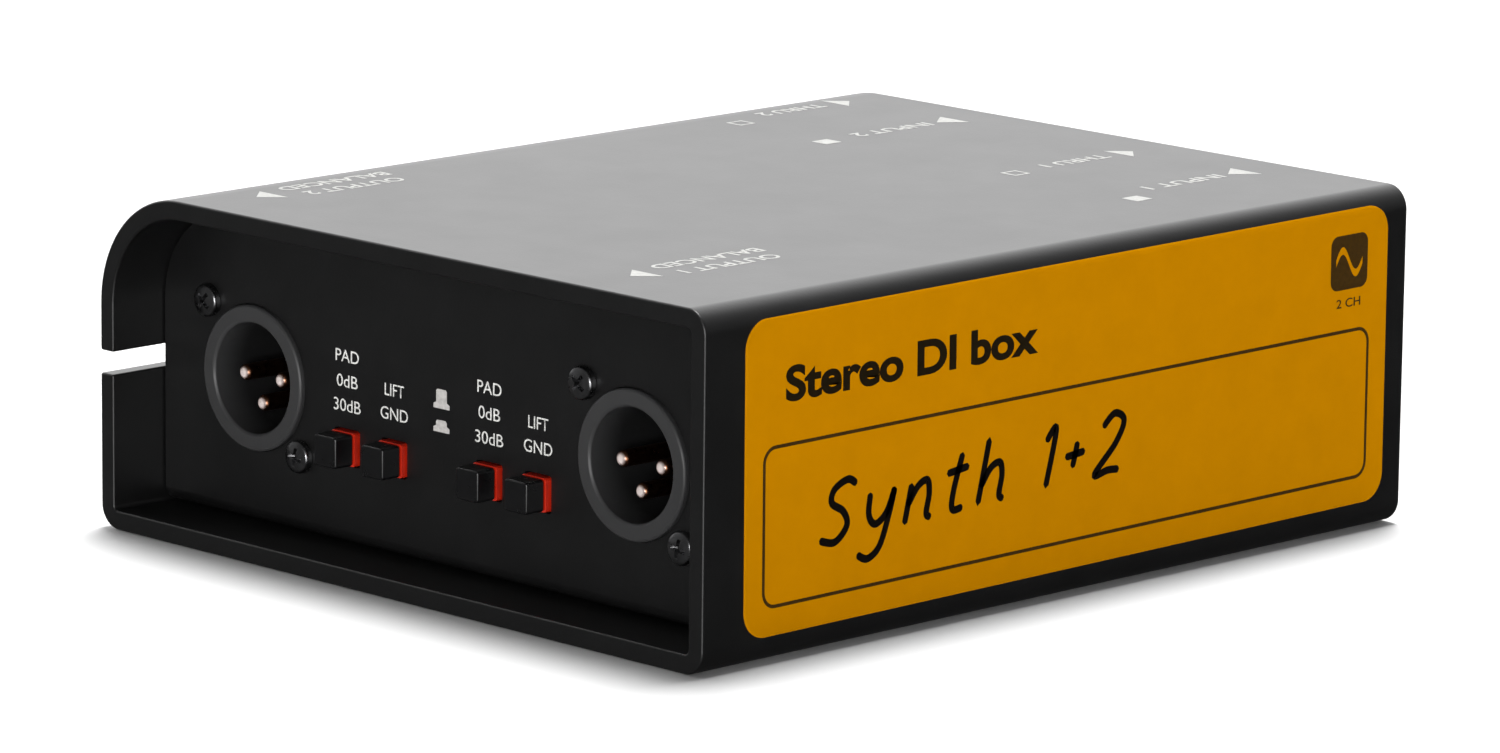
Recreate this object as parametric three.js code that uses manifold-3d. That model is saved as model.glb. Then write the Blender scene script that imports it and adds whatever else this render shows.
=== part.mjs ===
// A passive two-channel direct injection box, as an assembly of separate pieces.
//
// Millimetres, +Z up. The origin is the centre of the footprint, on the surface the box rests on.
// The balanced outputs and their buttons are at the front (-Y), the jack sockets are at the rear
// (+Y), and the write-on label is on the right side (+X). Channel 1 is on the +X half.
import * as THREE from 'three';
import { mergeVertices } from 'three/addons/utils/BufferGeometryUtils.js';
import Module from 'manifold-3d';

const wasm = await Module();
wasm.setup();

// ---- Driving dimensions, mm ----
const WIDTH = 124.6; // outer size along X
const DEPTH = 142.2; // outer size along Y
const HEIGHT = 50; // outer size along Z
const CLEARANCE = 0.3; // gap between pieces that touch on the real object
const OVERCUT = 1; // how far a cutting form reaches past the face that it cuts

// Sleeve: one sheet wrapped round, with a seam gap in the left wall
const WALL = 2.8;
const BIG_RADIUS = 17; // top left edge, outside
const SMALL_RADIUS = 3.5; // the three other long edges, outside
const SEAM_LOW = 22.6;
const SEAM_HIGH = 25.9;
const LABEL_THICKNESS = 0.2;
const LABEL_FRONT = -63.4;
const LABEL_REAR = 67;
const LABEL_LOW = 4.1;
const LABEL_HIGH = 46.8;
const LABEL_RADIUS = 4;

// Chassis: two bent sheets, each a recessed end panel with a floor and two side flanges
const RECESS = 9.6; // from the sleeve's end to the panel's face
const SHEET = 1.5;
const BEND_RADIUS = 2; // outside
const FLANGE_TOP = 32;
const FLOOR_JOINT = 44; // Y where the front and the rear floor meet
const PUNCH_REACH = 5; // how far a hole's form reaches to each side of a panel's face

// Circuit board
const BOARD_TOP = 13.2;
const BOARD_THICKNESS = 1.6;
const BOARD_HALF_WIDTH = 56;
const BOARD_FRONT = -56.2;
const BOARD_REAR = 58;

// Three-pin balanced output connector
const XLR_XS = [-39.4, 38.8]; // channel 2, channel 1
const XLR_Z = 24.1;
const XLR_RING_RADIUS = 10.6;
const XLR_BORE_RADIUS = 8.05;
const XLR_PROUD = 0.8; // the ring stands out of the panel
const XLR_SOCKET_DEPTH = 16; // ring face to the insert
const XLR_SHELL_LENGTH = 20;
const XLR_RING_CHAMFER = 0.3;
const XLR_BARREL_RADIUS = 10; // behind the panel
const XLR_FLANGE = 26;
const XLR_FLANGE_THICKNESS = 3;
const XLR_FLANGE_CORNER = 2.5;
const XLR_INSERT_RADIUS = 9.7; // of the insert's own flange, behind the shell
const XLR_INSERT_FLANGE = 3;
const PIN_CIRCLE_RADIUS = 3.9;
const PIN_RADIUS = 1.2;
const PIN_TIP_DEPTH = 1.75; // pin tip behind the ring face
const PIN_TIP_LENGTH = 1.3; // of the rounded stretch
const PIN_LEG = 1; // side of the square leg
const PIN_LEG_Y = 24.5;
const PIN_LEG_PROUD = 1; // it stands out under the circuit board
const PIN_LEG_HOLE = 1.8;

// The connectors' panel screws, with pan heads
const PANEL_SCREW_OFFSET = 9.9; // from the connector's axis, both ways
const PANEL_SCREW_TIP = 4.9;
const PANEL_SCREW_RADIUS = 1.2;
const PANEL_SCREW_HOLE_RADIUS = 1.5;
const PAN_HEAD_RADIUS = 2.4;
const PAN_HEAD_HEIGHT = 1.2;
const PAN_HEAD_FLAT_RADIUS = 1.5;
const PAN_HEAD_SHOULDER_RADIUS = 2.2;
const PAN_HEAD_SHOULDER_DROP = 0.45;

// The cross recess in every screw
const CROSS_REACH = 1.4;
const CROSS_HALF_WIDTH = 0.3;
const CROSS_DEPTH = 0.8;

// Push-button switch
const BUTTON_XS = { pad: [-19.7, 9.8], lift: [-9.8, 19.7] }; // channel 2, channel 1
const BUTTON_Z = 17.1;
const BUTTON_PROUD = 4.3;
const CAP_SIZE = 4.6;
const CAP_CORNER = 0.5;
const COLLAR_SIZE = 5;
const COLLAR_CORNER = 0.4;
const COLLAR_PROUD = 0.9;
const COLLAR_END = 5;
const STEM_SIZE = 2.2;
const STEM_LENGTH = 2.3; // into the cap
const GUIDE_RADIUS = 0.9; // inside the spring
const GUIDE_LENGTH = 3.5;
const SPRING_RADIUS = 1.7; // to the wire's centre
const SPRING_WIRE_RADIUS = 0.25;
const SPRING_TURNS = 4;
const SPRING_STEPS_A_TURN = 8;
const BUTTON_OPENING = 5.6; // square, in the panel and in the switch body
const SWITCH_SIZE = 7.2;
const SWITCH_LENGTH = 13;
const SWITCH_END_WALL = 1.5;

// 6.3 mm jack socket
const JACK_XS = { input: [-18.4, 40.7], thru: [-40.7, 18.4] }; // channel 2, channel 1
const JACK_Z = 20.5;
const JACK_BORE_RADIUS = 3.25;
const JACK_BUSH_RADIUS = 4.65;
const JACK_BUSH_PROUD = 4.5;
const JACK_BUSH_CHAMFER = 0.4;
const JACK_BODY = 14;
const JACK_LENGTH = 24;
const JACK_WALL = 1.5;
const JACK_FRONT_WALL = 4;
const WASHER_RADIUS = 7;
const WASHER_THICKNESS = 0.5;
const NUT_RADIUS = 6.9; // to its corners
const NUT_THICKNESS = 2.4;
const CONTACT_THICKNESS = 0.4;
const CONTACT_HALF_WIDTH = 1.5;
const CONTACT_LINE = [[6.5, 4.8], [17, 4.8], [20, 3.7], [22.5, 4.8]]; // y and z of its lower face

// Audio transformer
const TRANSFORMER_X = 30;
const CORE_WIDTH = 24;
const CORE_HEIGHT = 20;
const CORE_STACK = 10;
const CORE_LIMB = 4; // outer limbs and yokes
const CORE_CENTRE_LIMB = 6;

// Case screws, up through the sleeve's floor
const CASE_SCREW_X = 45;
const CASE_SCREW_YS = { front: -40, rear: 52 };
const CASE_SCREW_HEAD_RADIUS = 2.75;
const CASE_SCREW_SUNK = 0.2; // its head lies this far inside the underside
const CASE_SCREW_SHANK_RADIUS = 1.25;
const CASE_SCREW_TIP = 7;
const CASE_SCREW_TIP_RADIUS = 0.7;
const SLEEVE_HOLE_RADIUS = 1.8;
const CHASSIS_HOLE_RADIUS = 1.6;

// ---- Worked out from them ----
const INNER_HALF_WIDTH = WIDTH / 2 - WALL;
const PANEL_FACE = DEPTH / 2 - RECESS; // distance of each panel's outer face from the origin
const FLOOR_LOW = WALL + CLEARANCE;
const FLOOR_TOP = FLOOR_LOW + SHEET;
const BUSH_HOLE_RADIUS = JACK_BUSH_RADIUS + CLEARANCE;

// ---- Colours and finishes ----
const finish = (color, roughness, metalness) =>
  new THREE.MeshStandardMaterial({ color, roughness, metalness });
const FINISHES = {
  powder: () => finish(0x2b2b2c, 0.55, 0.1),
  plated: () => finish(0xb9bbbd, 0.35, 1),
  label: () => finish(0xc58200, 0.45, 0),
  blackPlastic: () => finish(0x161616, 0.5, 0),
  greyShell: () => finish(0x3d3d3e, 0.5, 0.2),
  gold: () => finish(0xd9a55a, 0.3, 1),
  blackScrew: () => finish(0x222223, 0.4, 0.8),
  redPlastic: () => finish(0xa31a10, 0.45, 0),
  spring: () => finish(0xa8abad, 0.3, 1),
  board: () => finish(0x1f5a34, 0.6, 0),
  core: () => finish(0x55585c, 0.5, 0.8),
  bobbin: () => finish(0xb58a2e, 0.6, 0),
};

// ---- Solids: closed meshes that can be joined and cut ----
function toSolid(geometry) {
  const bare = geometry.clone();
  bare.deleteAttribute('normal');
  bare.deleteAttribute('uv');
  const merged = mergeVertices(bare, 1e-4);
  const corners = merged.index.array;
  const triangles = [];
  for (let i = 0; i < corners.length; i += 3) {
    const [a, b, c] = [corners[i], corners[i + 1], corners[i + 2]];
    if (a !== b && b !== c && c !== a) {
      triangles.push(a, b, c);
    }
  }
  return new wasm.Manifold(new wasm.Mesh({
    numProp: 3,
    vertProperties: new Float32Array(merged.attributes.position.array),
    triVerts: new Uint32Array(triangles),
  }));
}

function toGeometry(solid) {
  const mesh = solid.getMesh();
  const geometry = new THREE.BufferGeometry();
  geometry.setAttribute('position', new THREE.BufferAttribute(mesh.vertProperties, 3));
  geometry.setIndex(new THREE.BufferAttribute(mesh.triVerts, 1));
  geometry.computeVertexNormals();
  return geometry;
}

function join(...geometries) {
  return toGeometry(geometries.map(toSolid).reduce((all, next) => all.add(next)));
}

function cut(geometry, ...tools) {
  return toGeometry(tools.map(toSolid).reduce((left, tool) => left.subtract(tool), toSolid(geometry)));
}

function common(a, b) {
  return toGeometry(toSolid(a).intersect(toSolid(b)));
}

// ---- Basic forms ----
function block(x0, x1, y0, y1, z0, z1) {
  const geometry = new THREE.BoxGeometry(x1 - x0, y1 - y0, z1 - z0);
  return geometry.translate((x0 + x1) / 2, (y0 + y1) / 2, (z0 + z1) / 2);
}

// A square bar along Y, centred on x = z = 0
const bar = (size, y0, y1) => block(-size / 2, size / 2, y0, y1, -size / 2, size / 2);

// An outline drawn in X and Z, from y0 to y1
function alongY(shape, y0, y1, curveSegments = 1) {
  const options = { depth: y1 - y0, bevelEnabled: false, curveSegments };
  return new THREE.ExtrudeGeometry(shape, options).rotateX(Math.PI / 2).translate(0, y1, 0);
}

// An outline drawn in Y and Z, from x0 to x1
function alongX(shape, x0, x1, curveSegments = 1) {
  const options = { depth: x1 - x0, bevelEnabled: false, curveSegments };
  const turn = new THREE.Matrix4().makeBasis(
    new THREE.Vector3(0, 1, 0),
    new THREE.Vector3(0, 0, 1),
    new THREE.Vector3(1, 0, 0),
  );
  return new THREE.ExtrudeGeometry(shape, options).applyMatrix4(turn).translate(x0, 0, 0);
}

// A profile of [radius, y] points turned about the Y axis. It starts and ends on the axis,
// or comes back to its first point.
function turned(profile, segments) {
  const points = profile.map(([radius, y]) => new THREE.Vector2(radius, y));
  return new THREE.LatheGeometry(points, segments);
}

const rod = (radius, y0, y1, segments) =>
  turned([[0, y0], [radius, y0], [radius, y1], [0, y1]], segments);

function roundedRectangle(left, right, low, high, radius) {
  const shape = new THREE.Shape();
  shape.absarc(right - radius, low + radius, radius, -Math.PI / 2, 0);
  shape.absarc(right - radius, high - radius, radius, 0, Math.PI / 2);
  shape.absarc(left + radius, high - radius, radius, Math.PI / 2, Math.PI);
  shape.absarc(left + radius, low + radius, radius, Math.PI, Math.PI * 1.5);
  return shape;
}

function piece(name, geometry, material) {
  const mesh = new THREE.Mesh(geometry, material());
  mesh.name = name;
  return mesh;
}

function place(group, x, y, z) {
  group.position.set(x, y, z);
  return group;
}

// ---- Sleeve and label ----
// The sleeve's cross-section, moved inwards by inset. Clockwise from the seam's upper edge to its
// lower edge, seen from the front.
function wrapCorners(inset) {
  const side = WIDTH / 2;
  const small = SMALL_RADIUS;
  return [
    [-side + BIG_RADIUS, HEIGHT - BIG_RADIUS, BIG_RADIUS - inset, Math.PI],
    [side - small, HEIGHT - small, small - inset, Math.PI / 2],
    [side - small, small, small - inset, 0],
    [-side + small, small, small - inset, -Math.PI / 2],
  ];
}

function sleeveShape() {
  const outerLeft = -WIDTH / 2;
  const shape = new THREE.Shape();
  shape.moveTo(outerLeft, SEAM_HIGH);
  shape.lineTo(outerLeft, HEIGHT - BIG_RADIUS);
  for (const [x, z, radius, from] of wrapCorners(0)) {
    shape.absarc(x, z, radius, from, from - Math.PI / 2, true);
  }
  shape.lineTo(outerLeft, SEAM_LOW);
  shape.lineTo(outerLeft + WALL, SEAM_LOW);
  for (const [x, z, radius, from] of wrapCorners(WALL).reverse()) {
    shape.absarc(x, z, radius, from - Math.PI / 2, from, false);
  }
  shape.lineTo(outerLeft + WALL, SEAM_HIGH);
  return shape;
}

function caseScrewPlaces() {
  return Object.entries(CASE_SCREW_YS).flatMap(([end, y]) => [
    { name: `case_screw_${end}_left`, x: -CASE_SCREW_X, y },
    { name: `case_screw_${end}_right`, x: CASE_SCREW_X, y },
  ]);
}

// A turned form stood upright, its y becoming z
const upright = (geometry, x, y) => geometry.rotateX(Math.PI / 2).translate(x, y, 0);

function countersink(x, y) {
  const mouth = CASE_SCREW_HEAD_RADIUS + CASE_SCREW_SUNK + CLEARANCE * Math.SQRT2;
  const hole = SLEEVE_HOLE_RADIUS;
  const top = WALL + OVERCUT;
  const profile = [
    [0, -OVERCUT], [mouth, -OVERCUT], [mouth, 0],
    [hole, mouth - hole], [hole, top], [0, top],
  ];
  return upright(turned(profile, 16), x, y);
}

function labelShape(margin) {
  return roundedRectangle(
    LABEL_FRONT - margin, LABEL_REAR + margin,
    LABEL_LOW - margin, LABEL_HIGH + margin, LABEL_RADIUS + margin,
  );
}

function sleeve() {
  const pocketDepth = LABEL_THICKNESS + CLEARANCE;
  const pocket = alongX(labelShape(CLEARANCE), WIDTH / 2 - pocketDepth, WIDTH / 2 + OVERCUT, 3);
  const sinks = caseScrewPlaces().map(({ x, y }) => countersink(x, y));
  const tube = alongY(sleeveShape(), -DEPTH / 2, DEPTH / 2, 5);
  return piece('outer_sleeve', cut(tube, pocket, ...sinks), FINISHES.powder);
}

function label() {
  const sheet = alongX(labelShape(0), WIDTH / 2 - LABEL_THICKNESS, WIDTH / 2, 3);
  return piece('write_on_label', sheet, FINISHES.label);
}

// A screw along +y from its profile, with a cross recess in the head's face at y = face
function crossScrew(profile, face) {
  const [reach, half] = [CROSS_REACH, CROSS_HALF_WIDTH];
  const [y0, y1] = [face - OVERCUT, face + CROSS_DEPTH];
  const level = block(-reach, reach, y0, y1, -half, half);
  const vertical = block(-half, half, y0, y1, -reach, reach);
  return cut(turned(profile, 12), level, vertical);
}

// A countersunk screw, pointing up
function caseScrew({ name, x, y }) {
  const head = CASE_SCREW_HEAD_RADIUS;
  const shank = CASE_SCREW_SHANK_RADIUS;
  const low = CASE_SCREW_SUNK;
  const tip = CASE_SCREW_TIP;
  const point = CASE_SCREW_TIP_RADIUS;
  const profile = [
    [0, low], [head, low], [shank, low + head - shank],
    [shank, tip - point], [point, tip], [0, tip],
  ];
  return place(piece(name, upright(crossScrew(profile, low), 0, 0), FINISHES.blackScrew), x, y, 0);
}

// ---- Chassis ----
// Everything inside the sleeve's inner wall, as one block
function innerBlock() {
  const shape = new THREE.Shape();
  for (const [x, z, radius, from] of wrapCorners(WALL + CLEARANCE)) {
    shape.absarc(x, z, radius, from, from - Math.PI / 2, true);
  }
  return alongY(shape, -DEPTH / 2, DEPTH / 2, 3);
}

// side is -1 for the front chassis and 1 for the rear one; its floor reaches in to floorEnd
function chassisBlank(side, floorEnd) {
  const at = (out, z) => [side * out, z];
  const face = PANEL_FACE;
  const top = HEIGHT;
  const bendInside = BEND_RADIUS - SHEET;
  const shape = new THREE.Shape();
  shape.moveTo(...at(face, top));
  shape.lineTo(...at(face, FLOOR_LOW + BEND_RADIUS));
  shape.quadraticCurveTo(...at(face, FLOOR_LOW), ...at(face - BEND_RADIUS, FLOOR_LOW));
  shape.lineTo(floorEnd, FLOOR_LOW);
  shape.lineTo(floorEnd, FLOOR_TOP);
  shape.lineTo(...at(face - SHEET - bendInside, FLOOR_TOP));
  shape.quadraticCurveTo(
    ...at(face - SHEET, FLOOR_TOP),
    ...at(face - SHEET, FLOOR_TOP + bendInside),
  );
  shape.lineTo(...at(face - SHEET, top));
  const sheet = alongX(shape, -WIDTH / 2, WIDTH / 2, 4);
  const outside = INNER_HALF_WIDTH - CLEARANCE;
  const inside = outside - SHEET;
  const [y0, y1] = [side * (face - SHEET / 2), floorEnd].sort((a, b) => a - b);
  const left = block(-outside, -inside, y0, y1, FLOOR_LOW, FLANGE_TOP);
  const right = block(inside, outside, y0, y1, FLOOR_LOW, FLANGE_TOP);
  return common(join(sheet, left, right), innerBlock());
}

// A round or square hole through a panel, at x and z
const through = (side) => [side * PANEL_FACE - PUNCH_REACH, side * PANEL_FACE + PUNCH_REACH];
const drill = (side, radius, x, z, segments) =>
  rod(radius, ...through(side), segments).translate(x, 0, z);

function screwHoles(x, z) {
  const offset = PANEL_SCREW_OFFSET;
  const radius = PANEL_SCREW_HOLE_RADIUS;
  return [
    drill(-1, radius, x - offset, z + offset, 12),
    drill(-1, radius, x + offset, z - offset, 12),
  ];
}

function floorHoles(y) {
  const top = FLOOR_TOP + OVERCUT;
  return [-CASE_SCREW_X, CASE_SCREW_X].map((x) =>
    upright(rod(CHASSIS_HOLE_RADIUS, 0, top, 12), x, y));
}

function frontChassis() {
  const ringHole = XLR_RING_RADIUS + CLEARANCE;
  const connectors = XLR_XS.flatMap((x) => [
    drill(-1, ringHole, x, XLR_Z, 24),
    ...screwHoles(x, XLR_Z),
  ]);
  const buttons = [...BUTTON_XS.pad, ...BUTTON_XS.lift].map((x) =>
    bar(BUTTON_OPENING, ...through(-1)).translate(x, 0, BUTTON_Z));
  const holes = [...connectors, ...buttons, ...floorHoles(CASE_SCREW_YS.front)];
  return piece('front_chassis', cut(chassisBlank(-1, FLOOR_JOINT), ...holes), FINISHES.powder);
}

function rearChassis() {
  const jacks = [...JACK_XS.input, ...JACK_XS.thru].map((x) =>
    drill(1, BUSH_HOLE_RADIUS, x, JACK_Z, 16));
  const holes = [...jacks, ...floorHoles(CASE_SCREW_YS.rear)];
  const blank = chassisBlank(1, FLOOR_JOINT + CLEARANCE);
  return piece('rear_chassis', cut(blank, ...holes), FINISHES.powder);
}

// ---- Three-pin connector, from its panel's outer face (y = 0) inwards (+y) ----
const PIN_PLACES = [[-PIN_CIRCLE_RADIUS, 0], [PIN_CIRCLE_RADIUS, 0], [0, -PIN_CIRCLE_RADIUS]];
const RING_FACE = -XLR_PROUD;
const SHELL_END = RING_FACE + XLR_SHELL_LENGTH;
const BEHIND_PANEL = SHEET + CLEARANCE;

function xlrShell(name) {
  const bore = XLR_BORE_RADIUS;
  const ring = XLR_RING_RADIUS;
  const barrel = XLR_BARREL_RADIUS;
  const flangeEnd = BEHIND_PANEL + XLR_FLANGE_THICKNESS;
  const step = (BEHIND_PANEL + flangeEnd) / 2;
  const profile = [
    [bore, RING_FACE],
    [ring - XLR_RING_CHAMFER, RING_FACE],
    [ring, RING_FACE + XLR_RING_CHAMFER],
    [ring, step],
    [barrel, step],
    [barrel, SHELL_END],
    [bore, SHELL_END],
    [bore, RING_FACE],
  ];
  const half = XLR_FLANGE / 2;
  const outline = roundedRectangle(-half, half, -half, half, XLR_FLANGE_CORNER);
  const plate = alongY(outline, BEHIND_PANEL, flangeEnd);
  const [y0, y1] = [BEHIND_PANEL - OVERCUT, flangeEnd + OVERCUT];
  const offset = PANEL_SCREW_OFFSET;
  const holes = [[-offset, offset], [offset, -offset]].map(([x, z]) =>
    rod(PANEL_SCREW_HOLE_RADIUS, y0, y1, 12).translate(x, 0, z));
  const flange = cut(plate, rod(bore, y0, y1, 24), ...holes);
  return piece(name, join(turned(profile, 24), flange), FINISHES.greyShell);
}

function xlrInsert(name) {
  const front = RING_FACE + XLR_SOCKET_DEPTH;
  const shoulder = SHELL_END + CLEARANCE;
  const end = shoulder + XLR_INSERT_FLANGE;
  const inner = XLR_BORE_RADIUS - CLEARANCE;
  const outer = XLR_INSERT_RADIUS;
  const profile = [[0, front], [inner, front], [inner, shoulder], [outer, shoulder], [outer, end], [0, end]];
  const holes = PIN_PLACES.map(([x, z]) =>
    rod(PIN_RADIUS + CLEARANCE, front - OVERCUT, end + OVERCUT, 10).translate(x, 0, z));
  return piece(name, cut(turned(profile, 24), ...holes), FINISHES.blackPlastic);
}

// A contact pin with a round tip, and a leg down through the circuit board
function xlrPin(name, x, z) {
  const tip = RING_FACE + PIN_TIP_DEPTH;
  const half = PIN_LEG / 2;
  const end = PIN_LEG_Y + half;
  const rounded = [0, 30, 60, 90].map(THREE.MathUtils.degToRad).map((angle) =>
    [PIN_RADIUS * Math.sin(angle), tip + PIN_TIP_LENGTH * (1 - Math.cos(angle))]);
  const profile = [...rounded, [PIN_RADIUS, end], [0, end]];
  const legEnd = BOARD_TOP - BOARD_THICKNESS - PIN_LEG_PROUD - XLR_Z - z;
  const leg = block(-half, half, PIN_LEG_Y - half, end, legEnd, 0);
  return place(piece(name, join(turned(profile, 10), leg), FINISHES.gold), x, 0, z);
}

// A pan head screw, its head standing on the panel
function panelScrew(name, x, z) {
  const under = -CLEARANCE;
  const top = under - PAN_HEAD_HEIGHT;
  const profile = [
    [0, top],
    [PAN_HEAD_FLAT_RADIUS, top],
    [PAN_HEAD_SHOULDER_RADIUS, top + PAN_HEAD_SHOULDER_DROP],
    [PAN_HEAD_RADIUS, under],
    [PANEL_SCREW_RADIUS, under],
    [PANEL_SCREW_RADIUS, PANEL_SCREW_TIP],
    [0, PANEL_SCREW_TIP],
  ];
  return place(piece(name, crossScrew(profile, top), FINISHES.blackScrew), x, 0, z);
}

function xlrConnector(channel) {
  const group = new THREE.Group();
  const offset = PANEL_SCREW_OFFSET;
  group.add(xlrShell(`xlr_shell_ch${channel}`));
  group.add(xlrInsert(`xlr_insert_ch${channel}`));
  PIN_PLACES.forEach(([x, z], i) => group.add(xlrPin(`xlr_pin_${i + 1}_ch${channel}`, x, z)));
  group.add(panelScrew(`xlr_screw_upper_ch${channel}`, -offset, offset));
  group.add(panelScrew(`xlr_screw_lower_ch${channel}`, offset, -offset));
  const [channelTwo, channelOne] = XLR_XS;
  return place(group, channel === 1 ? channelOne : channelTwo, -PANEL_FACE, XLR_Z);
}

// ---- Push-button switch, from its panel's outer face (y = 0) inwards (+y) ----
const SWITCH_END = BEHIND_PANEL + SWITCH_LENGTH;
const CAVITY_END = SWITCH_END - SWITCH_END_WALL;

function switchBody(name) {
  const cavity = bar(BUTTON_OPENING, BEHIND_PANEL - OVERCUT, CAVITY_END);
  return piece(name, cut(bar(SWITCH_SIZE, BEHIND_PANEL, SWITCH_END), cavity), FINISHES.blackPlastic);
}

// The moving part of the switch: a red collar, a stem for the cap and a guide for the spring
function plunger(name) {
  const half = COLLAR_SIZE / 2;
  const outline = roundedRectangle(-half, half, -half, half, COLLAR_CORNER);
  const collar = alongY(outline, -COLLAR_PROUD, COLLAR_END);
  const stem = bar(STEM_SIZE, -COLLAR_PROUD - STEM_LENGTH, 0);
  const guide = rod(GUIDE_RADIUS, 0, COLLAR_END + GUIDE_LENGTH, 10);
  return piece(name, join(collar, stem, guide), FINISHES.redPlastic);
}

function cap(name) {
  const half = CAP_SIZE / 2;
  const back = -COLLAR_PROUD - CLEARANCE;
  const outline = roundedRectangle(-half, half, -half, half, CAP_CORNER);
  const socket = bar(STEM_SIZE + 2 * CLEARANCE, back - STEM_LENGTH, back + OVERCUT);
  return piece(name, cut(alongY(outline, -BUTTON_PROUD, back), socket), FINISHES.blackPlastic);
}

// The return spring, between the collar and the end of the switch's cavity
class Helix extends THREE.Curve {
  constructor(radius, start, end, turns) {
    super();
    Object.assign(this, { radius, start, end, turns });
  }

  getPoint(t, target = new THREE.Vector3()) {
    const angle = 2 * Math.PI * this.turns * t;
    const y = this.start + (this.end - this.start) * t;
    return target.set(this.radius * Math.cos(angle), y, this.radius * Math.sin(angle));
  }
}

function spring(name) {
  const margin = CLEARANCE + SPRING_WIRE_RADIUS;
  const path = new Helix(SPRING_RADIUS, COLLAR_END + margin, CAVITY_END - margin, SPRING_TURNS);
  const section = new THREE.Shape();
  section.absarc(0, 0, SPRING_WIRE_RADIUS, 0, 2 * Math.PI);
  const steps = SPRING_TURNS * SPRING_STEPS_A_TURN;
  const options = { steps, extrudePath: path, curveSegments: 3, bevelEnabled: false };
  return piece(name, new THREE.ExtrudeGeometry(section, options), FINISHES.spring);
}

function pushSwitch(use, channel) {
  const group = new THREE.Group();
  group.add(switchBody(`${use}_switch_body_ch${channel}`));
  group.add(plunger(`${use}_plunger_ch${channel}`));
  group.add(cap(`${use}_button_cap_ch${channel}`));
  group.add(spring(`${use}_spring_ch${channel}`));
  const [channelTwo, channelOne] = BUTTON_XS[use];
  return place(group, channel === 1 ? channelOne : channelTwo, -PANEL_FACE, BUTTON_Z);
}

// ---- Jack socket, from its panel's outer face (y = 0) inwards (+y) ----
function jackBody(name) {
  const bush = JACK_BUSH_RADIUS;
  const hollowFront = BEHIND_PANEL + JACK_FRONT_WALL;
  const end = BEHIND_PANEL + JACK_LENGTH;
  const body = bar(JACK_BODY, BEHIND_PANEL, end);
  const profile = [
    [0, -JACK_BUSH_PROUD],
    [bush - JACK_BUSH_CHAMFER, -JACK_BUSH_PROUD],
    [bush, -JACK_BUSH_PROUD + JACK_BUSH_CHAMFER],
    [bush, hollowFront],
    [0, hollowFront],
  ];
  const bore = rod(JACK_BORE_RADIUS, -JACK_BUSH_PROUD - OVERCUT, hollowFront + OVERCUT, 16);
  const hollow = bar(JACK_BODY - 2 * JACK_WALL, hollowFront, end - JACK_WALL);
  return piece(name, cut(join(turned(profile, 16), body), bore, hollow), FINISHES.blackPlastic);
}

// A leaf spring above the bore, with a bend that a plug's tip touches
function jackContact(name) {
  const upperLine = CONTACT_LINE.map(([y, z]) => [y, z + CONTACT_THICKNESS]).reverse();
  const outline = [...CONTACT_LINE, ...upperLine].map(([y, z]) => new THREE.Vector2(y, z));
  const leaf = alongX(new THREE.Shape(outline), -CONTACT_HALF_WIDTH, CONTACT_HALF_WIDTH);
  return piece(name, leaf, FINISHES.gold);
}

const WASHER_FACE = -CLEARANCE - WASHER_THICKNESS;

function jackWasher(name) {
  const profile = [
    [BUSH_HOLE_RADIUS, WASHER_FACE],
    [WASHER_RADIUS, WASHER_FACE],
    [WASHER_RADIUS, -CLEARANCE],
    [BUSH_HOLE_RADIUS, -CLEARANCE],
    [BUSH_HOLE_RADIUS, WASHER_FACE],
  ];
  return piece(name, turned(profile, 16), FINISHES.plated);
}

function jackNut(name) {
  const back = WASHER_FACE - CLEARANCE;
  const face = back - NUT_THICKNESS;
  const hole = rod(BUSH_HOLE_RADIUS, face - OVERCUT, back + OVERCUT, 16);
  return piece(name, cut(rod(NUT_RADIUS, face, back, 6), hole), FINISHES.plated);
}

function jackSocket(use, channel) {
  const group = new THREE.Group();
  group.add(jackBody(`${use}_jack_body_ch${channel}`));
  group.add(jackContact(`${use}_jack_contact_ch${channel}`));
  group.add(jackWasher(`${use}_jack_washer_ch${channel}`));
  group.add(jackNut(`${use}_jack_nut_ch${channel}`));
  group.rotation.z = Math.PI;
  const [channelTwo, channelOne] = JACK_XS[use];
  return place(group, channel === 1 ? channelOne : channelTwo, PANEL_FACE, JACK_Z);
}

// ---- Circuit board and transformers ----
function circuitBoard() {
  const low = BOARD_TOP - BOARD_THICKNESS;
  const half = BOARD_HALF_WIDTH;
  const board = block(-half, half, BOARD_FRONT, BOARD_REAR, low, BOARD_TOP);
  const reach = PIN_LEG_HOLE / 2;
  const legY = PIN_LEG_Y - PANEL_FACE;
  const hole = block(-reach, reach, legY - reach, legY + reach, low - OVERCUT, BOARD_TOP + OVERCUT);
  const holes = XLR_XS.flatMap((connector) =>
    PIN_PLACES.map(([x]) => hole.clone().translate(connector + x, 0, 0)));
  return piece('circuit_board', cut(board, ...holes), FINISHES.board);
}

// The laminated core: an outer frame and a centre limb along X, with a window above and below it
function transformerCore(name) {
  const halfWidth = CORE_WIDTH / 2;
  const halfHeight = CORE_HEIGHT / 2;
  const limb = CORE_CENTRE_LIMB / 2;
  const windowEnd = halfWidth - CORE_LIMB;
  const windowTop = halfHeight - CORE_LIMB;
  const stack = block(-halfWidth, halfWidth, -CORE_STACK / 2, CORE_STACK / 2, -halfHeight, halfHeight);
  const upper = block(-windowEnd, windowEnd, -CORE_STACK, CORE_STACK, limb, windowTop);
  const lower = block(-windowEnd, windowEnd, -CORE_STACK, CORE_STACK, -windowTop, -limb);
  return piece(name, cut(stack, upper, lower), FINISHES.core);
}

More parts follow.
